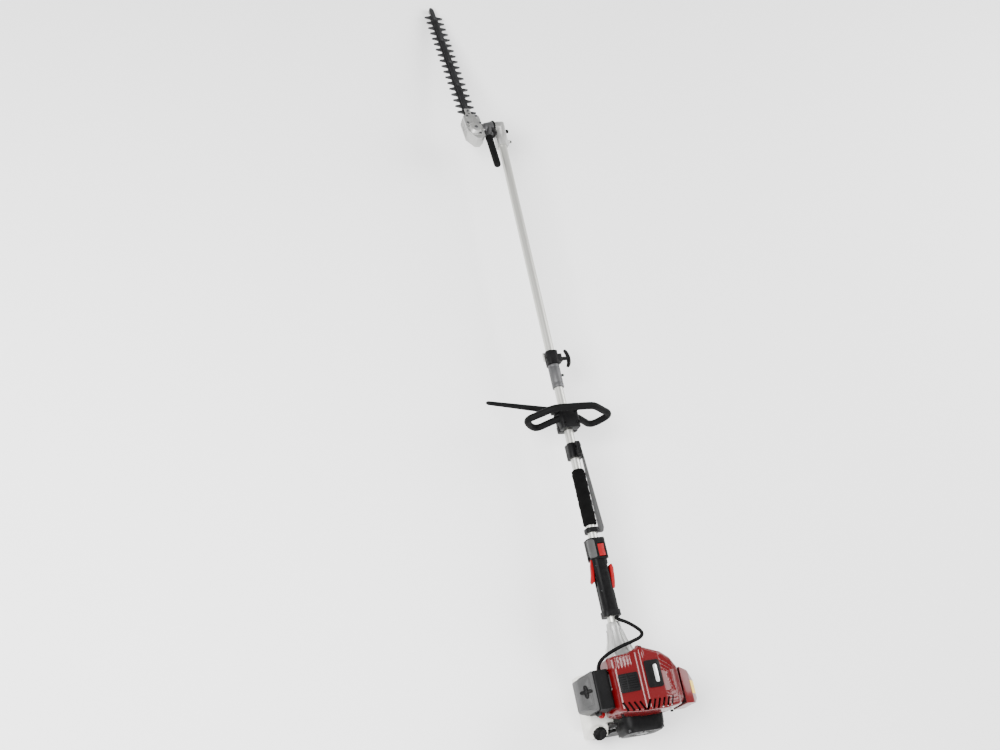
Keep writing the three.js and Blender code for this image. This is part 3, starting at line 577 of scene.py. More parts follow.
def shroud_shell():
    """The bare cover: a skin lofted out from its hub and down its sides, then given its thickness."""
    foot = corners("shroud")[0].z - AXIS_Z
    around, rings, drops = 360, 64, 26
    bm = bmesh.new()
    grid = []
    for i in range(around):
        angle = 2 * math.pi * i / around
        near = [plan_radius(angle + step * 0.02) for step in (-2, -1, 0, 1, 2)]
        radius = sum(near) / 5 - SHROUD_SKIN
        way = Vector((math.cos(angle), math.sin(angle)))
        row = []
        for j in range(1, rings + 1):
            share = 1 - (1 - j / rings) ** 1.35
            inward = radius * (1 - share)
            spot = SHROUD_HUB + way * radius * share
            height = top_height(spot.y)
            if inward < EDGE_ROUND:
                arc = EDGE_ROUND ** 2 - (EDGE_ROUND - inward) ** 2
                height -= EDGE_ROUND - math.sqrt(max(0.0, arc))
            lift = shroud_relief(spot.x, spot.y, inward) * (min(1.0, inward / 0.004) * 0.6 + 0.4)
            spot += way * lift * 0.35 * (inward < 0.02)
            row.append(bm.verts.new((spot.x, spot.y, AXIS_Z + height - SHROUD_SKIN + lift * 0.8)))
        edge = row[-1].co.copy()
        for j in range(1, drops + 1):
            share = j / drops
            z = edge.z + (AXIS_Z + foot + 0.001 - edge.z) * share
            belly = 0.0010 * math.sin(math.pi * share) - 0.004 * max(0.0, share - 0.8) / 0.2
            lift = shroud_relief(edge.x, edge.y, 0.004) * max(0.0, 1 - share * 3)
            place = Vector((edge.x, edge.y)) + way * (belly + lift * 0.4)
            row.append(bm.verts.new((place.x, place.y, z)))
        grid.append(row)
    hub = bm.verts.new((SHROUD_HUB.x, SHROUD_HUB.y, AXIS_Z + top_height(SHROUD_HUB.y) - SHROUD_SKIN))
    for a, b in zip(grid, grid[1:] + grid[:1]):
        bm.faces.new((hub, a[0], b[0]))
        for j in range(len(a) - 1):
            bm.faces.new((a[j], a[j + 1], b[j + 1], b[j]))
    bmesh.ops.recalc_face_normals(bm, faces=bm.faces)
    mesh = bpy.data.meshes.new("shroud_shell")
    bm.to_mesh(mesh)
    bm.free()
    shell = bpy.data.objects.new("shroud_shell", mesh)
    bpy.context.scene.collection.objects.link(shell)
    thick = shell.modifiers.new("thick", "SOLIDIFY")
    thick.thickness = SHROUD_WALL
    thick.offset = -1
    bake_modifiers(shell)
    return shell


def shroud_openings():
    """Two rows of leaning slots, and the room for the crankcase, the cone, the guard and the filter."""
    openings = bmesh.new()
    for first, last, lean, count in ((0.060, 0.018, 24, 4), (0.004, -0.062, -22, 6)):
        for i in range(count):
            y = first + (last - first) * i / (count - 1)
            made = add_box(openings, (-0.013, -0.0028, AXIS_Z + 0.080), (0.013, 0.0028, AXIS_Z + 0.16))
            rear = -0.031 - 0.009 * math.cos((y + 0.02) * 16)
            turn = Matrix.Translation((rear, y, 0)) @ Matrix.Rotation(math.radians(lean), 4, "Z")
            bmesh.ops.transform(openings, matrix=turn, verts=made)
    add_box(openings, (-0.070, -0.074, 0.05), (-0.030, 0.050, AXIS_Z + 0.046))
    nose = Matrix.Translation((0.070, 0, AXIS_Z))
    add_lathe(openings, [(0, 0), (0, 0.050), (0.06, 0.050), (0.06, 0)], 64, nose)
    add_box(openings, (-0.038, -0.130, 0.05), (0.047, -0.096, AXIS_Z + 0.083))
    add_box(openings, (0.018, 0.060, AXIS_Z + 0.020), (0.066, 0.090, AXIS_Z + 0.072))
    return openings


def make_shroud():
    shell = shroud_shell()
    cut_with(shell, shroud_openings())
    shade(shell)
    shell.data.materials.append(MATERIALS["red_plastic"])
    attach(shell, ENGINE)
    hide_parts("shroud")

    liner = bmesh.new()
    add_prism(liner, round_rect(0.026, 0.142, 0.006, -0.029, -0.002), AXIS_Z + 0.070, AXIS_Z + 0.086, "XY")
    add_prism(liner, round_rect(0.026, 0.066, 0.006, -0.029, -0.028), AXIS_Z + 0.080, AXIS_Z + 0.104, "XY")
    finish_mesh(liner, "shroud_liner", ENGINE, "black_plastic", bevel=0.001)

    ridge = bmesh.new()
    top = corners("shroud")[1].z
    line = [
        (0.1095, -0.004, top - 0.020), (0.104, -0.006, top - 0.008), (0.088, -0.008, top - 0.0035),
        (0.070, -0.006, top - 0.0045),
    ]
    add_sweep(ridge, curve_points(line, 24), lambda share: 0.0080 * (1 - 0.6 * share), 16, 0.8)
    finish_mesh(ridge, "shroud_front_ridge", ENGINE, "red_plastic")
    bolts = bmesh.new()
    add_bolt(bolts, (0.1045, -0.006, top - 0.010), (0.5, 0, 1), 0.0048, 0.007)
    add_bolt(bolts, (-0.046, 0.058, AXIS_Z + 0.060), (-1, 0.3, 0), 0.0040, 0.005)
    add_bolt(bolts, (-0.053, -0.080, AXIS_Z + 0.060), (-1, 0, 0), 0.0040, 0.005)
    finish_mesh(bolts, "shroud_bolt", ENGINE, "black_plastic")


def make_top_panels():
    low, high = corners("vent_panel")
    slope = math.atan2(SHROUD_TOP[2][1] - SHROUD_TOP[1][1], SHROUD_TOP[1][0] - SHROUD_TOP[2][0])
    lie = Matrix.Translation((low + high) / 2) @ Matrix.Rotation(-slope, 4, "X")
    long, wide = high.x - low.x, (high.y - low.y) / math.cos(slope)
    bm = bmesh.new()
    made = add_prism(bm, round_rect(long, wide, 0.005), -0.0030, 0.0004, "XY")
    slats = 7
    for i in range(slats):
        x = -long / 2 + 0.006 + i * (long - 0.012) / (slats - 1)
        made += add_prism(bm, round_rect(0.0042, wide - 0.007, 0.002, x, 0, 3), -0.0005, 0.0030, "XY")
    made += add_prism(bm, round_rect(long - 0.004, 0.004, 0.0018, 0, 0.004, 3), -0.0005, 0.0034, "XY")
    bmesh.ops.transform(bm, matrix=lie, verts=made)
    finish_mesh(
        bm, "vent_panel_ribbed", ENGINE, "black_plastic", ("vent_panel",), bevel=0.0006
    )

    low, high = corners("label_plate")
    centre = (low + high) / 2
    base = low.z
    bm = bmesh.new()
    plate = round_rect(high.x - low.x, high.y - low.y, 0.006, centre.x, centre.y)
    add_prism(bm, plate, base - 0.003, base + 0.0022, "XY")
    finish_mesh(
        bm, "label_plate_body", ENGINE, "black_plastic", ("label_plate",), bevel=0.0012
    )
    bm = bmesh.new()
    badge = round_rect(0.046, 0.010, 0.0045, centre.x, centre.y - 0.006)
    add_prism(bm, badge, base + 0.0018, base + 0.0030, "XY")
    finish_mesh(bm, "label_plate_blank_badge", ENGINE, "label_silver", bevel=0.0003)


# ---------------------------------------------------------------- the rest of the engine

def make_cone():
    low, high = corners("clutch_housing")
    x0, x1 = low.x, high.x
    bm = bmesh.new()
    profile = [
        (x0, 0.043), (x0, 0.0475), (x0 + 0.004, 0.048), (x0 + 0.010, 0.0475), (x0 + 0.018, 0.0425),
        (x0 + 0.034, 0.0325), (x0 + 0.052, 0.0265), (x0 + 0.078, 0.0212), (x1 - 0.014, 0.0198),
        (x1 - 0.002, 0.0190), (x1, 0.0180), (x1, 0.0136), (x0 + 0.06, 0.0136), (x0 + 0.03, 0.028),
        (x0, 0.043),
    ]
    fin_side = [
        (x0 + 0.012, 0.040), (x0 + 0.02, 0.0455), (x0 + 0.06, 0.0285), (x1 - 0.02, 0.0215),
        (x1 - 0.02, 0.0190), (x0 + 0.05, 0.024),
    ]
    add_lathe(bm, profile, 72, POLE)
    for i in range(6):
        turn = POLE @ Matrix.Rotation(math.pi / 3 * i + 0.3, 4, "X")
        fin = add_prism(bm, fin_side, -0.0016, 0.0016, "XZ")
        bmesh.ops.transform(bm, matrix=turn, verts=fin)
    clamp = add_prism(bm, round_rect(0.022, 0.020, 0.004, x1 - 0.018, 0), -0.026, -0.014, "XY")
    bmesh.ops.transform(bm, matrix=POLE, verts=clamp)
    finish_mesh(bm, "clutch_cone", ENGINE, "cast_alloy", ("clutch_housing",), bevel=0.0006)
    bm = bmesh.new()
    for angle in (0.8, 2.4, 3.9, 5.4):
        out = Vector((0, math.cos(angle), math.sin(angle)))
        add_bolt(bm, Vector((x0 + 0.012, 0, AXIS_Z)) + out * 0.043, (1, 0, 0), 0.0042, 0.006)
    add_bolt(bm, (x1 - 0.018, 0.010, AXIS_Z - 0.02), (0, 1, 0), 0.004, 0.005)
    finish_mesh(bm, "cone_screws", ENGINE, "steel")


def make_filter():
    low, high = corners("filter_cover")
    x0, x1 = low.x, high.x
    section = [
        (low.y, low.z), (low.y, high.z), (low.y + 0.007, high.z), (high.y - 0.002, high.z - 0.024),
        (high.y, high.z - 0.030), (high.y, low.z + 0.020), (high.y - 0.010, low.z),
    ]
    bm = bmesh.new()
    add_prism(bm, section, x0, x1, "YZ")
    for vertex in bm.verts:
        if vertex.co.y > low.y + 0.012:
            vertex.co.x += 0.009 if vertex.co.x < (x0 + x1) / 2 else -0.012
    finish_mesh(
        bm, "filter_cover_cap", "filter_lid", "grey_plastic", ("filter_cover",),
        bevel=0.0045, segments=4,
    )
    knob_seat = joint_frame("filter_knob_turn")
    bm = bmesh.new()
    panel = add_prism(bm, round_rect(0.072, 0.026, 0.005), -0.0014, 0.0012, "XY")
    rib_half = [(0.010, -0.010), (0.032, -0.0105), (0.030, -0.007), (0.014, 0.008), (0.010, 0.008)]
    for side in (-1, 1):
        panel += add_prism(bm, [(side * x, y) for x, y in rib_half], 0.0, 0.0030, "XY")
    bmesh.ops.transform(bm, matrix=knob_seat, verts=panel)
    finish_mesh(bm, "filter_cover_panel", "filter_lid", "grey_plastic", bevel=0.0006)
    bm = bmesh.new()
    points = []
    sides, lobes = 72, 4
    for i in range(sides):
        angle = 2 * math.pi * i / sides
        radius = 0.0118 + 0.0050 * math.cos(lobes * angle)
        points.append((radius * math.cos(angle), radius * math.sin(angle)))
    lobe = add_prism(bm, points, 0.0025, 0.0095, "XY")
    lobe += add_prism(bm, round_rect(0.012, 0.012, 0.0058), 0.0022, 0.0122, "XY")
    bmesh.ops.transform(bm, matrix=knob_seat, verts=lobe)
    finish_mesh(
        bm, "filter_knob_lobed", "filter_screw", "black_plastic", ("filter_knob",),
        bevel=0.0012, segments=3,
    )
    refined("filter_base", "black_plastic", 0.003, 3)


def make_primer():
    low, high = corners("primer_bulb")
    centre = (low + high) / 2
    bm = bmesh.new()
    r = (high.z - low.z) / 2
    length = high.x - low.x
    steps = 14
    dome = []
    for i in range(1, steps + 1):
        t = i / steps
        dome.append((length * t, r * 0.98 * math.sqrt(max(0.0, 1 - (1 - t) ** 2.4))))
    profile = [(0, 0), *dome, (length, 0)]
    add_lathe(bm, profile, 40, Matrix.Translation((low.x, centre.y, centre.z)))
    finish_mesh(bm, "primer_dome", "primer", "signal_red", ("primer_bulb",))


def make_starter():
    low, high = corners("starter_housing")
    centre = (low + high) / 2
    bm = bmesh.new()
    width, height = high.y - low.y, high.z - low.z
    stations = [(0.0, 0.84), (0.006, 0.92), (0.018, 0.97), (0.036, 1.0), (high.x - low.x, 1.0)]
    rings = []
    for x, scale in stations:
        ring = round_rect(width * scale, height * scale, 0.026 * scale, centre.y, centre.z, 8)
        rings.append([bm.verts.new((low.x + x, y, z)) for y, z in ring])
    join_rings(bm, rings)
    bm.faces.new(rings[0])
    bm.faces.new(list(reversed(rings[-1])))
    shell = finish_mesh(
        bm, "starter_pan", ENGINE, "black_plastic", ("starter_housing",), bevel=0.0015
    )
    cutter = bmesh.new()
    vents = 14
    for i in range(vents):
        angle = 2 * math.pi * i / vents
        vent = add_box(cutter, (low.x - 0.002, 0.019, -0.0024), (low.x + 0.008, 0.036, 0.0024))
        turn = Matrix.Translation((0, centre.y, centre.z)) @ Matrix.Rotation(angle, 4, "X")
        bmesh.ops.transform(cutter, matrix=turn, verts=vent)
    cut_with(shell, cutter)
    shade(shell)
    bm = bmesh.new()
    hub = Matrix.Translation((low.x - 0.0004, centre.y, centre.z))
    add_lathe(bm, [(0, 0), (0, 0.015), (0.0025, 0.016), (0.008, 0.016), (0.008, 0)], 40, hub)
    for side, rise in ((1, 1), (-1, 1), (-1, -1), (1, -1)):
        place = (low.x + 0.009, centre.y + 0.047 * side, centre.z + 0.036 * rise)
        add_bolt(bm, place, (-1, 0, 0), 0.0036, 0.006)
    finish_mesh(bm, "starter_hub_and_screws", ENGINE, "blade_steel", bevel=0.0003)
    grip_low, grip_high = corners("starter_grip")
    mid = (grip_low + grip_high) / 2
    bm = bmesh.new()
    tall = grip_high.z - grip_low.z
    steps = 20
    line = []
    for i in range(steps + 1):
        t = i / steps
        bow = 0.002 * math.cos(math.pi * (t - 0.5))
        line.append(Vector((mid.x, grip_high.y - 0.006 + bow, grip_low.z + tall * t)))
    add_sweep(bm, line, lambda share: 0.0035 + 0.0025 * math.sin(math.pi * share) ** 0.5, 24)
    neck = curve_points([(mid.x, y, mid.z) for y in (grip_low.y, mid.y, grip_high.y - 0.006)], 8)
    add_sweep(bm, neck, lambda share: 0.0035 + 0.0015 * share, 20)
    finish_mesh(bm, "starter_grip_body", "pull_grip", "black_plastic", ("starter_grip",))


def make_tank():
    refined("fuel_tank", "tank_plastic", 0.005, 4)
    low, high = corners("fuel_tank")
    side = high.y + 0.0001
    bm = bmesh.new()
    for height in (0.30, 0.62):
        z = low.z + (high.z - low.z) * height
        seam = even_line((-0.052, side, z), (0.080, side, z), 20)
        add_sweep(bm, seam, 0.0011, 8)
    finish_mesh(bm, "fuel_tank_seams", ENGINE, "tank_plastic")


CAP_RADIUS = 0.0188
CAP_SIDES = 72
CAP_KNURL = 0.05
# Height along the cap's axis and the share of its radius there
CAP_PROFILE = [(-0.0056, 1.0), (0.0032, 1.0), (0.0052, 0.95), (0.0058, 0.84), (0.0040, 0.74), (0.0036, 0.2)]


def make_fuel_cap():
    bm = bmesh.new()
    rings = []
    for z, scale in CAP_PROFILE:
        rings.append([])
        for i in range(CAP_SIDES):
            ridge = 1 - (CAP_KNURL if (i // 3) % 2 and scale > 0.9 else 0)
            angle = math.tau * i / CAP_SIDES
            r = CAP_RADIUS * scale * ridge
            rings[-1].append(bm.verts.new((r * math.cos(angle), r * math.sin(angle), z)))
    join_rings(bm, rings)
    bm.faces.new(list(reversed(rings[0])))
    bm.faces.new(rings[-1])
    add_prism(bm, round_rect(0.026, 0.0055, 0.0025), 0.0030, 0.0060, "XY")
    bmesh.ops.transform(bm, matrix=joint_frame("tank_cap_off"), verts=bm.verts)
    finish_mesh(
        bm, "fuel_cap_knurled", "tank_cap", "black_plastic", ("fuel_cap",), bevel=0.0004
    )


def make_muffler_guard():
    refined("muffler_guard", "red_plastic", 0.003, 3)
    bm = bmesh.new()
    tag = add_prism(bm, round_rect(0.034, 0.026, 0.002), 0.0, 0.0007, "XY")
    out = Vector((0, -0.74, 0.673))
    face = Vector((-0.005, -0.150, AXIS_Z + 0.069)) + out * 0.0002
    bmesh.ops.transform(bm, matrix=facing(face, out), verts=tag)
    finish_mesh(bm, "guard_blank_tag", ENGINE, "label_yellow")


# ---------------------------------------------------------------- pole, grips and controls

def make_tube(node, body):
    low, high = corners(node)
    bm = bmesh.new()
    add_lathe(bm, pipe_profile(low.x, high.x, TUBE_R, TUBE_R - 0.0015), 64, POLE)
    finish_mesh(bm, node + "_drawn", body, "tube_aluminium", (node,))


def make_foam():
    low, high = corners("foam_grip")
    outer = (high.z - low.z) / 2
    length = high.x - low.x
    bore = 0.0133
    profile = [(low.x, bore)]
    count = 70
    for i in range(count + 1):
        share = i / count
        end = min(share, 1 - share) * length
        round_off = 0.004 * (1 - min(1, end / 0.006)) ** 2
        wave = 0.0004 * math.sin(share * 37) + 0.0003 * math.sin(share * 91 + 1)
        profile.append((low.x + length * share, outer - 0.0007 - round_off + wave))
    profile += [(high.x, bore), (low.x, bore)]
    bm = bmesh.new()
    add_lathe(bm, profile, 72, POLE)
    for vertex in bm.verts:
        spot = vertex.co * 160
        radial = Vector((0, vertex.co.y, vertex.co.z - AXIS_Z))
        if radial.length > 0.016:
            vertex.co += radial.normalized() * noise.noise(spot) * 0.0004
    piece = finish_mesh(bm, "foam_grip_sleeve", ENGINE, "foam", ("foam_grip",))


def make_handle():
    low, high = corners("handle_shell_upper")
    length = high.x - low.x
    for node in ("handle_shell_upper", "handle_shell_lower"):
        refined(node, "black_plastic", 0.0022, 3)
    bm = bmesh.new()
    for i in range(7):
        x = low.x + 0.016 + 0.0075 * i
        add_sweep(bm, rib_arc(x, 0.0212, 0.0202, 25, 130, 16), 0.0011, 8)
    finish_mesh(bm, "handle_grip_ribs", ENGINE, "black_rubber")
    bm = bmesh.new()
    front = length - 0.01
    screws = [
        (0.010, 0.016), (0.070, 0.0175), (0.140, 0.0175), (front, 0.0205), (front, -0.0205),
        (0.010, -0.016),
    ]
    for x, y in screws:
        add_bolt(bm, (low.x + x, y, AXIS_Z + 0.0165), (0, 0, 1), 0.0021, 0.0036)
    finish_mesh(bm, "handle_screws", ENGINE, "blade_steel")
    # A grey panel beside the trigger on the grip's left side: a painted highlight, grey plastic standing in
    # for the light that falls on that side
    bm = bmesh.new()
    panel = round_rect(0.052, 0.020, 0.006, high.x - 0.030, 0.0190)
    add_prism(bm, panel, AXIS_Z + 0.012, AXIS_Z + 0.0236, "XY")
    finish_mesh(bm, "handle_grey_panel", ENGINE, "grey_plastic", bevel=0.002, segments=3)


def make_controls():
    """The stop switch in its raised surround, the trigger and the lockout lever."""
    centre = middle("stop_switch")
    bm = bmesh.new()
    outer = round_rect(0.048, 0.026, 0.005, centre.x, centre.y)
    inner = round_rect(0.0385, 0.0202, 0.003, centre.x, centre.y)
    top, base = AXIS_Z + 0.0244, AXIS_Z + 0.018
    loops = []
    for points, z in ((outer, base), (outer, top), (inner, top), (inner, base)):
        loops.append([bm.verts.new((u, v, z)) for u, v in points])
    join_rings(bm, loops + loops[:1])
    finish_mesh(bm, "switch_surround", ENGINE, "black_plastic", bevel=0.0008)
    refined("stop_switch", "signal_red", 0.0009, 3)
    refined("trigger", "signal_red", 0.0016, 3)
    refined("lockout_lever", "signal_red", 0.0016, 3)


# From the handle, over the clutch housing and down behind the filter, about the pole's centre line
CONDUIT = [
    (0.2180, -0.007, 0.017), (0.208, -0.009, 0.020), (0.191, -0.032, 0.030), (0.166, -0.058, 0.034),
    (0.150, -0.052, 0.040), (0.138, -0.020, 0.050), (0.126, 0.022, 0.060), (0.112, 0.060, 0.064),
    (0.098, 0.084, 0.062), (0.085, 0.093, 0.057), (0.0736, 0.094, 0.055),
]
CONDUIT_RADIUS, CONDUIT_RIB, CONDUIT_RIB_RATE = 0.0048, 0.00022, 640


def make_conduit():
    bm = bmesh.new()
    line = curve_points(CONDUIT, 220)
    add_sweep(bm, line, lambda share: CONDUIT_RADIUS + CONDUIT_RIB * math.sin(share * CONDUIT_RIB_RATE), 20)
    bmesh.ops.transform(bm, matrix=POLE, verts=bm.verts)
    finish_mesh(
        bm, "throttle_conduit_ribbed", ENGINE, "black_rubber", ("throttle_conduit",)
    )
    bm = bmesh.new()
    add_sweep(bm, line[2:16], 0.0060, 20)
    bmesh.ops.transform(bm, matrix=POLE, verts=bm.verts)
    finish_mesh(bm, "conduit_boot", ENGINE, "black_rubber")


# The left half of the loop from the clamp round to the top, as (y, z) from the pole's centre line
LOOP_HALF = [
    (0.014, 0.022), (0.032, 0.014), (0.058, -0.008), (0.076, -0.022), (0.092, -0.022), (0.110, -0.006),
    (0.122, 0.014), (0.118, 0.030), (0.098, 0.046), (0.068, 0.069), (0.050, 0.075), (0.020, 0.076),
]
LOOP_LEAN = 0.16
LOOP_RADIUS, LOOP_SWELL, LOOP_GROOVE = 0.0097, 0.0009, 0.00018


def loop_thickness(share):
    """The bar swells at its top, where its cover has fine grooves."""
    grip = 0.5 + 0.5 * math.cos(min(1, abs(share - 0.5) / 0.30) * math.pi)
    return LOOP_RADIUS + LOOP_SWELL * grip + LOOP_GROOVE * math.sin(share * 900) * (grip > 0.02)


def make_loop_handle():
    clamp_low, clamp_high = corners("loop_clamp")
    centre_x = (clamp_low.x + clamp_high.x) / 2
    points = [(centre_x + z * LOOP_LEAN, y, z + AXIS_Z) for y, z in LOOP_HALF]
    points += [(centre_x + z * LOOP_LEAN, -y, z + AXIS_Z) for y, z in reversed(LOOP_HALF)]
    bm = bmesh.new()
    add_sweep(bm, curve_points(points, 260), loop_thickness, 28)
    finish_mesh(bm, "loop_handle_bar", ENGINE, "black_rubber", ("loop_handle",))
    bm = bmesh.new()
    section = round_rect(0.058, 0.034, 0.010, 0, AXIS_Z + 0.0175, 8)
    add_prism(bm, section, clamp_low.x, clamp_high.x, "YZ")
    finish_mesh(bm, "loop_handle_saddle", ENGINE, "black_plastic", bevel=0.0025, segments=3)
    bm = bmesh.new()
    for x in (clamp_low.x + 0.012, clamp_high.x - 0.012):
        for y in (-0.021, 0.021):
            add_bolt(bm, (x, y, AXIS_Z + 0.033), (0, 0, 1), 0.0046, 0.0052)
    finish_mesh(bm, "loop_saddle_bolts", ENGINE, "black_plastic", bevel=0.0005)
    refined("loop_clamp", "black_plastic", 0.002, 3)


def barrier_thickness(share):
    """The bar tapers to its tip, which is rounded off."""
    return 0.0098 - 0.0038 * share - 0.0035 * max(0, (share - 0.965) / 0.035) ** 2


def make_barrier_bar():
    centre_x = middle("loop_clamp").x
    root = (centre_x + 0.026, 0.030, AXIS_Z + 0.018)
    tip = (centre_x + 0.064, corners("barrier_bar")[1].y - 0.001, AXIS_Z + 0.022)
    bm = bmesh.new()
    add_sweep(bm, even_line(root, tip, 40), barrier_thickness, 24, 0.8)
    add_box(bm, (centre_x + 0.017, 0.0294, AXIS_Z + 0.007), (centre_x + 0.030, 0.046, AXIS_Z + 0.029))
    finish_mesh(
        bm, "barrier_bar_tapered", ENGINE, "black_plastic", ("barrier_bar",), bevel=0.001
    )


def make_hanger():
    refined("hanger_bracket", "black_plastic", 0.002, 3)
    refined("rail_clamp", "black_plastic", 0.0015, 3)
    refined("hip_rail", "grey_plastic", 0.0008, 2)
    bm = bmesh.new()
    clamp_top = corners("rail_clamp")[1].z
    add_bolt(bm, (middle("rail_clamp").x, -0.012, clamp_top - 0.002), (0, 0, 1), 0.0036, 0.0036)
    bracket_x = middle("hanger_bracket").x
    add_bolt(bm, (bracket_x + 0.018, -0.0195, AXIS_Z + 0.005), (0, -1, 0), 0.0042, 0.005)
    finish_mesh(bm, "bracket_bolts", ENGINE, "blade_steel")


def make_coupling():
    low, high = corners("coupling_sleeve")
    bm = bmesh.new()
    bore, outer = 0.0134, 0.017
    # Two turned grooves, one near each end
    profile = [
        (low.x, bore), (low.x, 0.0160), (low.x + 0.001, outer), (low.x + 0.012, outer),
        (low.x + 0.0125, 0.0165), (low.x + 0.0145, 0.0165), (low.x + 0.015, outer),
        (high.x - 0.010, outer), (high.x - 0.0095, 0.0164), (high.x - 0.0075, 0.0164),
        (high.x - 0.007, outer), (high.x - 0.0005, outer), (high.x, 0.0165), (high.x, bore), (low.x, bore),
    ]
    add_lathe(bm, profile, 72, POLE)
    finish_mesh(
        bm, "coupling_sleeve_turned", ENGINE, "dark_alloy", ("coupling_sleeve",), bevel=0.0003
    )
    refined("coupling_clamp", "black_plastic", 0.0022, 3)
    clamp_back = corners("coupling_clamp")[0].x
    bm = bmesh.new()
    for i in range(4):
        x = clamp_back + 0.007 + 0.009 * i
        add_sweep(bm, rib_arc(x, 0.0170, 0.0180, 35, 100, 14), 0.0011, 8)
    add_bolt(bm, (low.x + 0.040, -0.0168, AXIS_Z), (0, -1, 0), 0.0038, 0.0078)
    finish_mesh(bm, "coupling_ribs", ENGINE, "black_plastic")


def make_knob_and_pin():
    """The clamp's tee knob, whose arms bow back towards the pole, and the spring lock pin."""
    bm = bmesh.new()
    knob_x = JOINTS["clamp_knob_turn"]["pos_m"][0]
    stem = [Vector((knob_x, y, AXIS_Z)) for y in (-0.0286, -0.034, -0.042, -0.048)]
    add_sweep(bm, stem, lambda share: 0.0062 - 0.0012 * share, 24)
    arm = [(0.007, -0.0515), (0.018, -0.0488), (0.027, -0.0435)]
    tee = [(knob_x - x, y, AXIS_Z) for x, y in reversed(arm)]
    tee += [(knob_x + x, y, AXIS_Z) for x, y in arm]

    def swell(share):
        return 0.0036 + 0.0028 * math.sin(math.pi * min(1, max(0, share))) ** 0.5

    add_sweep(bm, curve_points(tee, 40), swell, 24, 0.85)
    finish_mesh(bm, "clamp_knob_tee", "clamp_knob", "black_plastic", ("coupling_knob",))
    refined("lock_pin", "zinc", 0.0008, 2)


# ---------------------------------------------------------------- cutter head

# In the head's own axes
ADJUSTING_HANDLE = [
    (-0.0355, 0.041, 0), (-0.074, 0.042, -0.001), (-0.114, 0.043, -0.002), (-0.1575, 0.044, -0.003),
]
GEARBOX_HUB = Vector((-0.020, 0.086, 0.0196))
COVER_SCREWS = [(-0.042, 0.076), (0.034, 0.072), (0.034, 0.101), (0.004, 0.106), (0.004, 0.066)]


def adjusting_grip(share):
    """A collar at the knuckle, a ribbed grip and a rounded end."""
    collar = 0.0012 if share < 0.08 else 0
    end = 0.0040 * max(0.0, (share - 0.95) / 0.05) ** 2
    return 0.0106 + collar - end + 0.00035 * math.sin(share * 150) * (0.12 < share < 0.93)


def make_head():
    refined("head_clamp", "cast_alloy", 0.0018, 3)
    refined("knuckle", "dark_alloy", 0.0016, 3)
    refined("detent_plate", "black_plastic", 0.0006, 2)
    refined("gearbox_case", "cast_alloy", 0.0016, 3)
    refined("gearbox_cover", "cast_alloy", 0.0016, 3)
    refined("latch_lever", "black_plastic", 0.001, 2)
    bm = bmesh.new()
    add_sweep(bm, curve_points(ADJUSTING_HANDLE, 120), adjusting_grip, 32)
    bmesh.ops.transform(bm, matrix=HEAD, verts=bm.verts)
    finish_mesh(bm, "adjusting_grip", "cutter_head", "black_rubber", ("adjusting_handle",))
    make_gearbox_details()
    bm = bmesh.new()
    add_bolt(bm, (PIVOT.x - 0.046, -0.0265, AXIS_Z), (0, -1, 0), 0.0040, 0.0055)
    add_bolt(bm, (PIVOT.x - 0.012, -0.0195, AXIS_Z + 0.006), (0, -1, 0), 0.0058, 0.0070)
    finish_mesh(bm, "head_clamp_bolt", "upper_pole", "black_plastic")


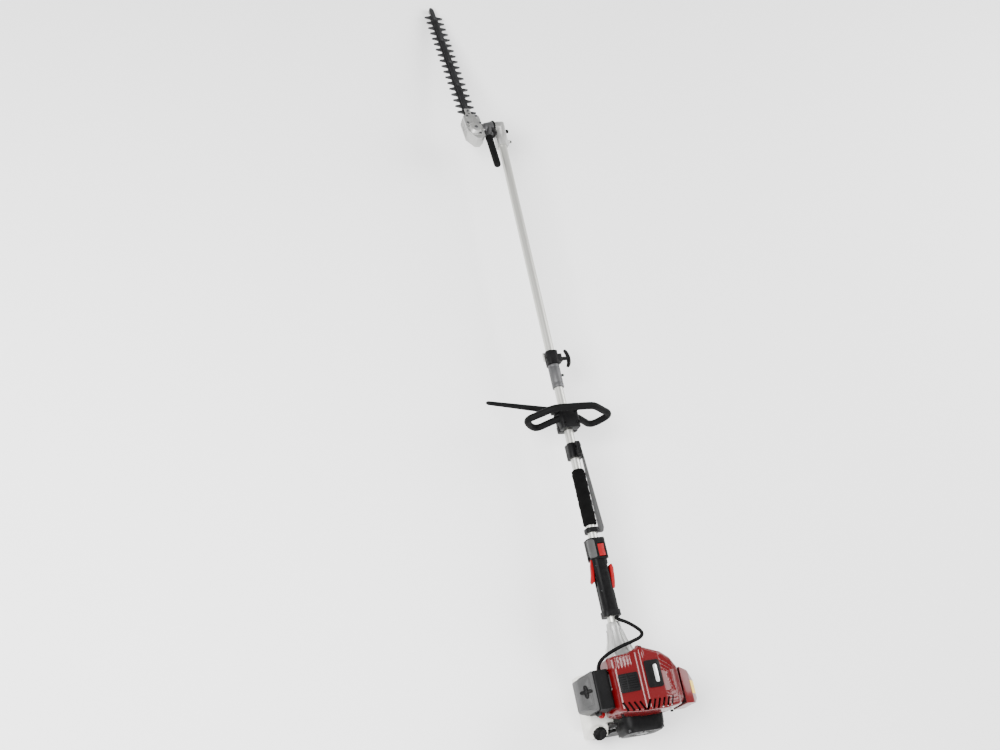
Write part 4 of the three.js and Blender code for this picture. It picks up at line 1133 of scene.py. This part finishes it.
def make_gearbox_details():
    """Cover and bar screws, and the ribs round the hub and along the case."""
    bm = bmesh.new()
    for x, y in COVER_SCREWS:
        add_bolt(bm, (x, y, 0.0235), (0, 0, 1), 0.0042, 0.0024)
    add_bolt(bm, (GEARBOX_HUB.x, GEARBOX_HUB.y, 0.0295), (0, 0, 1), 0.006, 0.0015)
    for x in (0.055, 0.072):
        add_bolt(bm, (x, 0.086, 0.0098), (0, 0, 1), 0.0040, 0.0036)
    bmesh.ops.transform(bm, matrix=HEAD, verts=bm.verts)
    finish_mesh(bm, "gearbox_screws", "cutter_head", "dark_alloy")
    bm = bmesh.new()
    ring = []
    for angle in [math.tau * t / 60 for t in range(61)]:
        x = GEARBOX_HUB.x + 0.0252 * math.cos(angle)
        y = GEARBOX_HUB.y + 0.0252 * math.sin(angle)
        ring.append(Vector((x, y, 0.0202)))
    add_sweep(bm, ring, 0.0013, 8)
    for angle in (-35, 0, 35, 80, 150, 210, 265):
        way = Vector((math.cos(math.radians(angle)), math.sin(math.radians(angle)), 0))
        reach = 0.052 if angle == 0 else 0.0235
        start, end = GEARBOX_HUB + way * 0.0205, GEARBOX_HUB + way * (0.021 + reach * 0.42)
        add_sweep(bm, even_line(start, end, 6), 0.0017, 8)
    for z in (-0.010, -0.002, 0.006):
        add_sweep(bm, even_line((-0.028, 0.1122, z), (0.038, 0.1122, z), 12), 0.0013, 8)
    bmesh.ops.transform(bm, matrix=HEAD, verts=bm.verts)
    finish_mesh(bm, "gearbox_ribs", "cutter_head", "cast_alloy")


def make_blades():
    for node in ("upper_blade", "lower_blade"):
        refined(node, "blade_steel", 0.0005, 1)
    refined("guide_bar", "blade_steel", 0.0005, 2)


INNER_PARTS = [
    "crankcase", "cylinder", "crankshaft", "flywheel", "clutch_shoes", "clutch_drum", "spark_plug", "muffler",
    "carburettor", "choke_lever", "starter_pulley", "stand", "lower_drive_shaft", "upper_drive_shaft",
    "cross_shaft", "eccentric_gear", "piston", "connecting_rod",
]


def dress_inner_parts():
    """Pieces that keep the frame's shape get softer edges and the finish named by their slot."""
    for node in INNER_PARTS:
        refined(node, NODE_SLOT[node], 0.0005, 1)


make_camera()
make_materials()
make_stage()
make_shroud()
make_top_panels()
make_cone()
make_filter()
make_primer()
make_starter()
make_tank()
make_fuel_cap()
make_muffler_guard()
make_tube("lower_tube", ENGINE)
make_tube("upper_tube", "upper_pole")
make_foam()
make_handle()
make_controls()
make_conduit()
make_loop_handle()
make_barrier_bar()
make_hanger()
make_coupling()
make_knob_and_pin()
make_head()
make_blades()
dress_inner_parts()

bpy.context.view_layer.update()
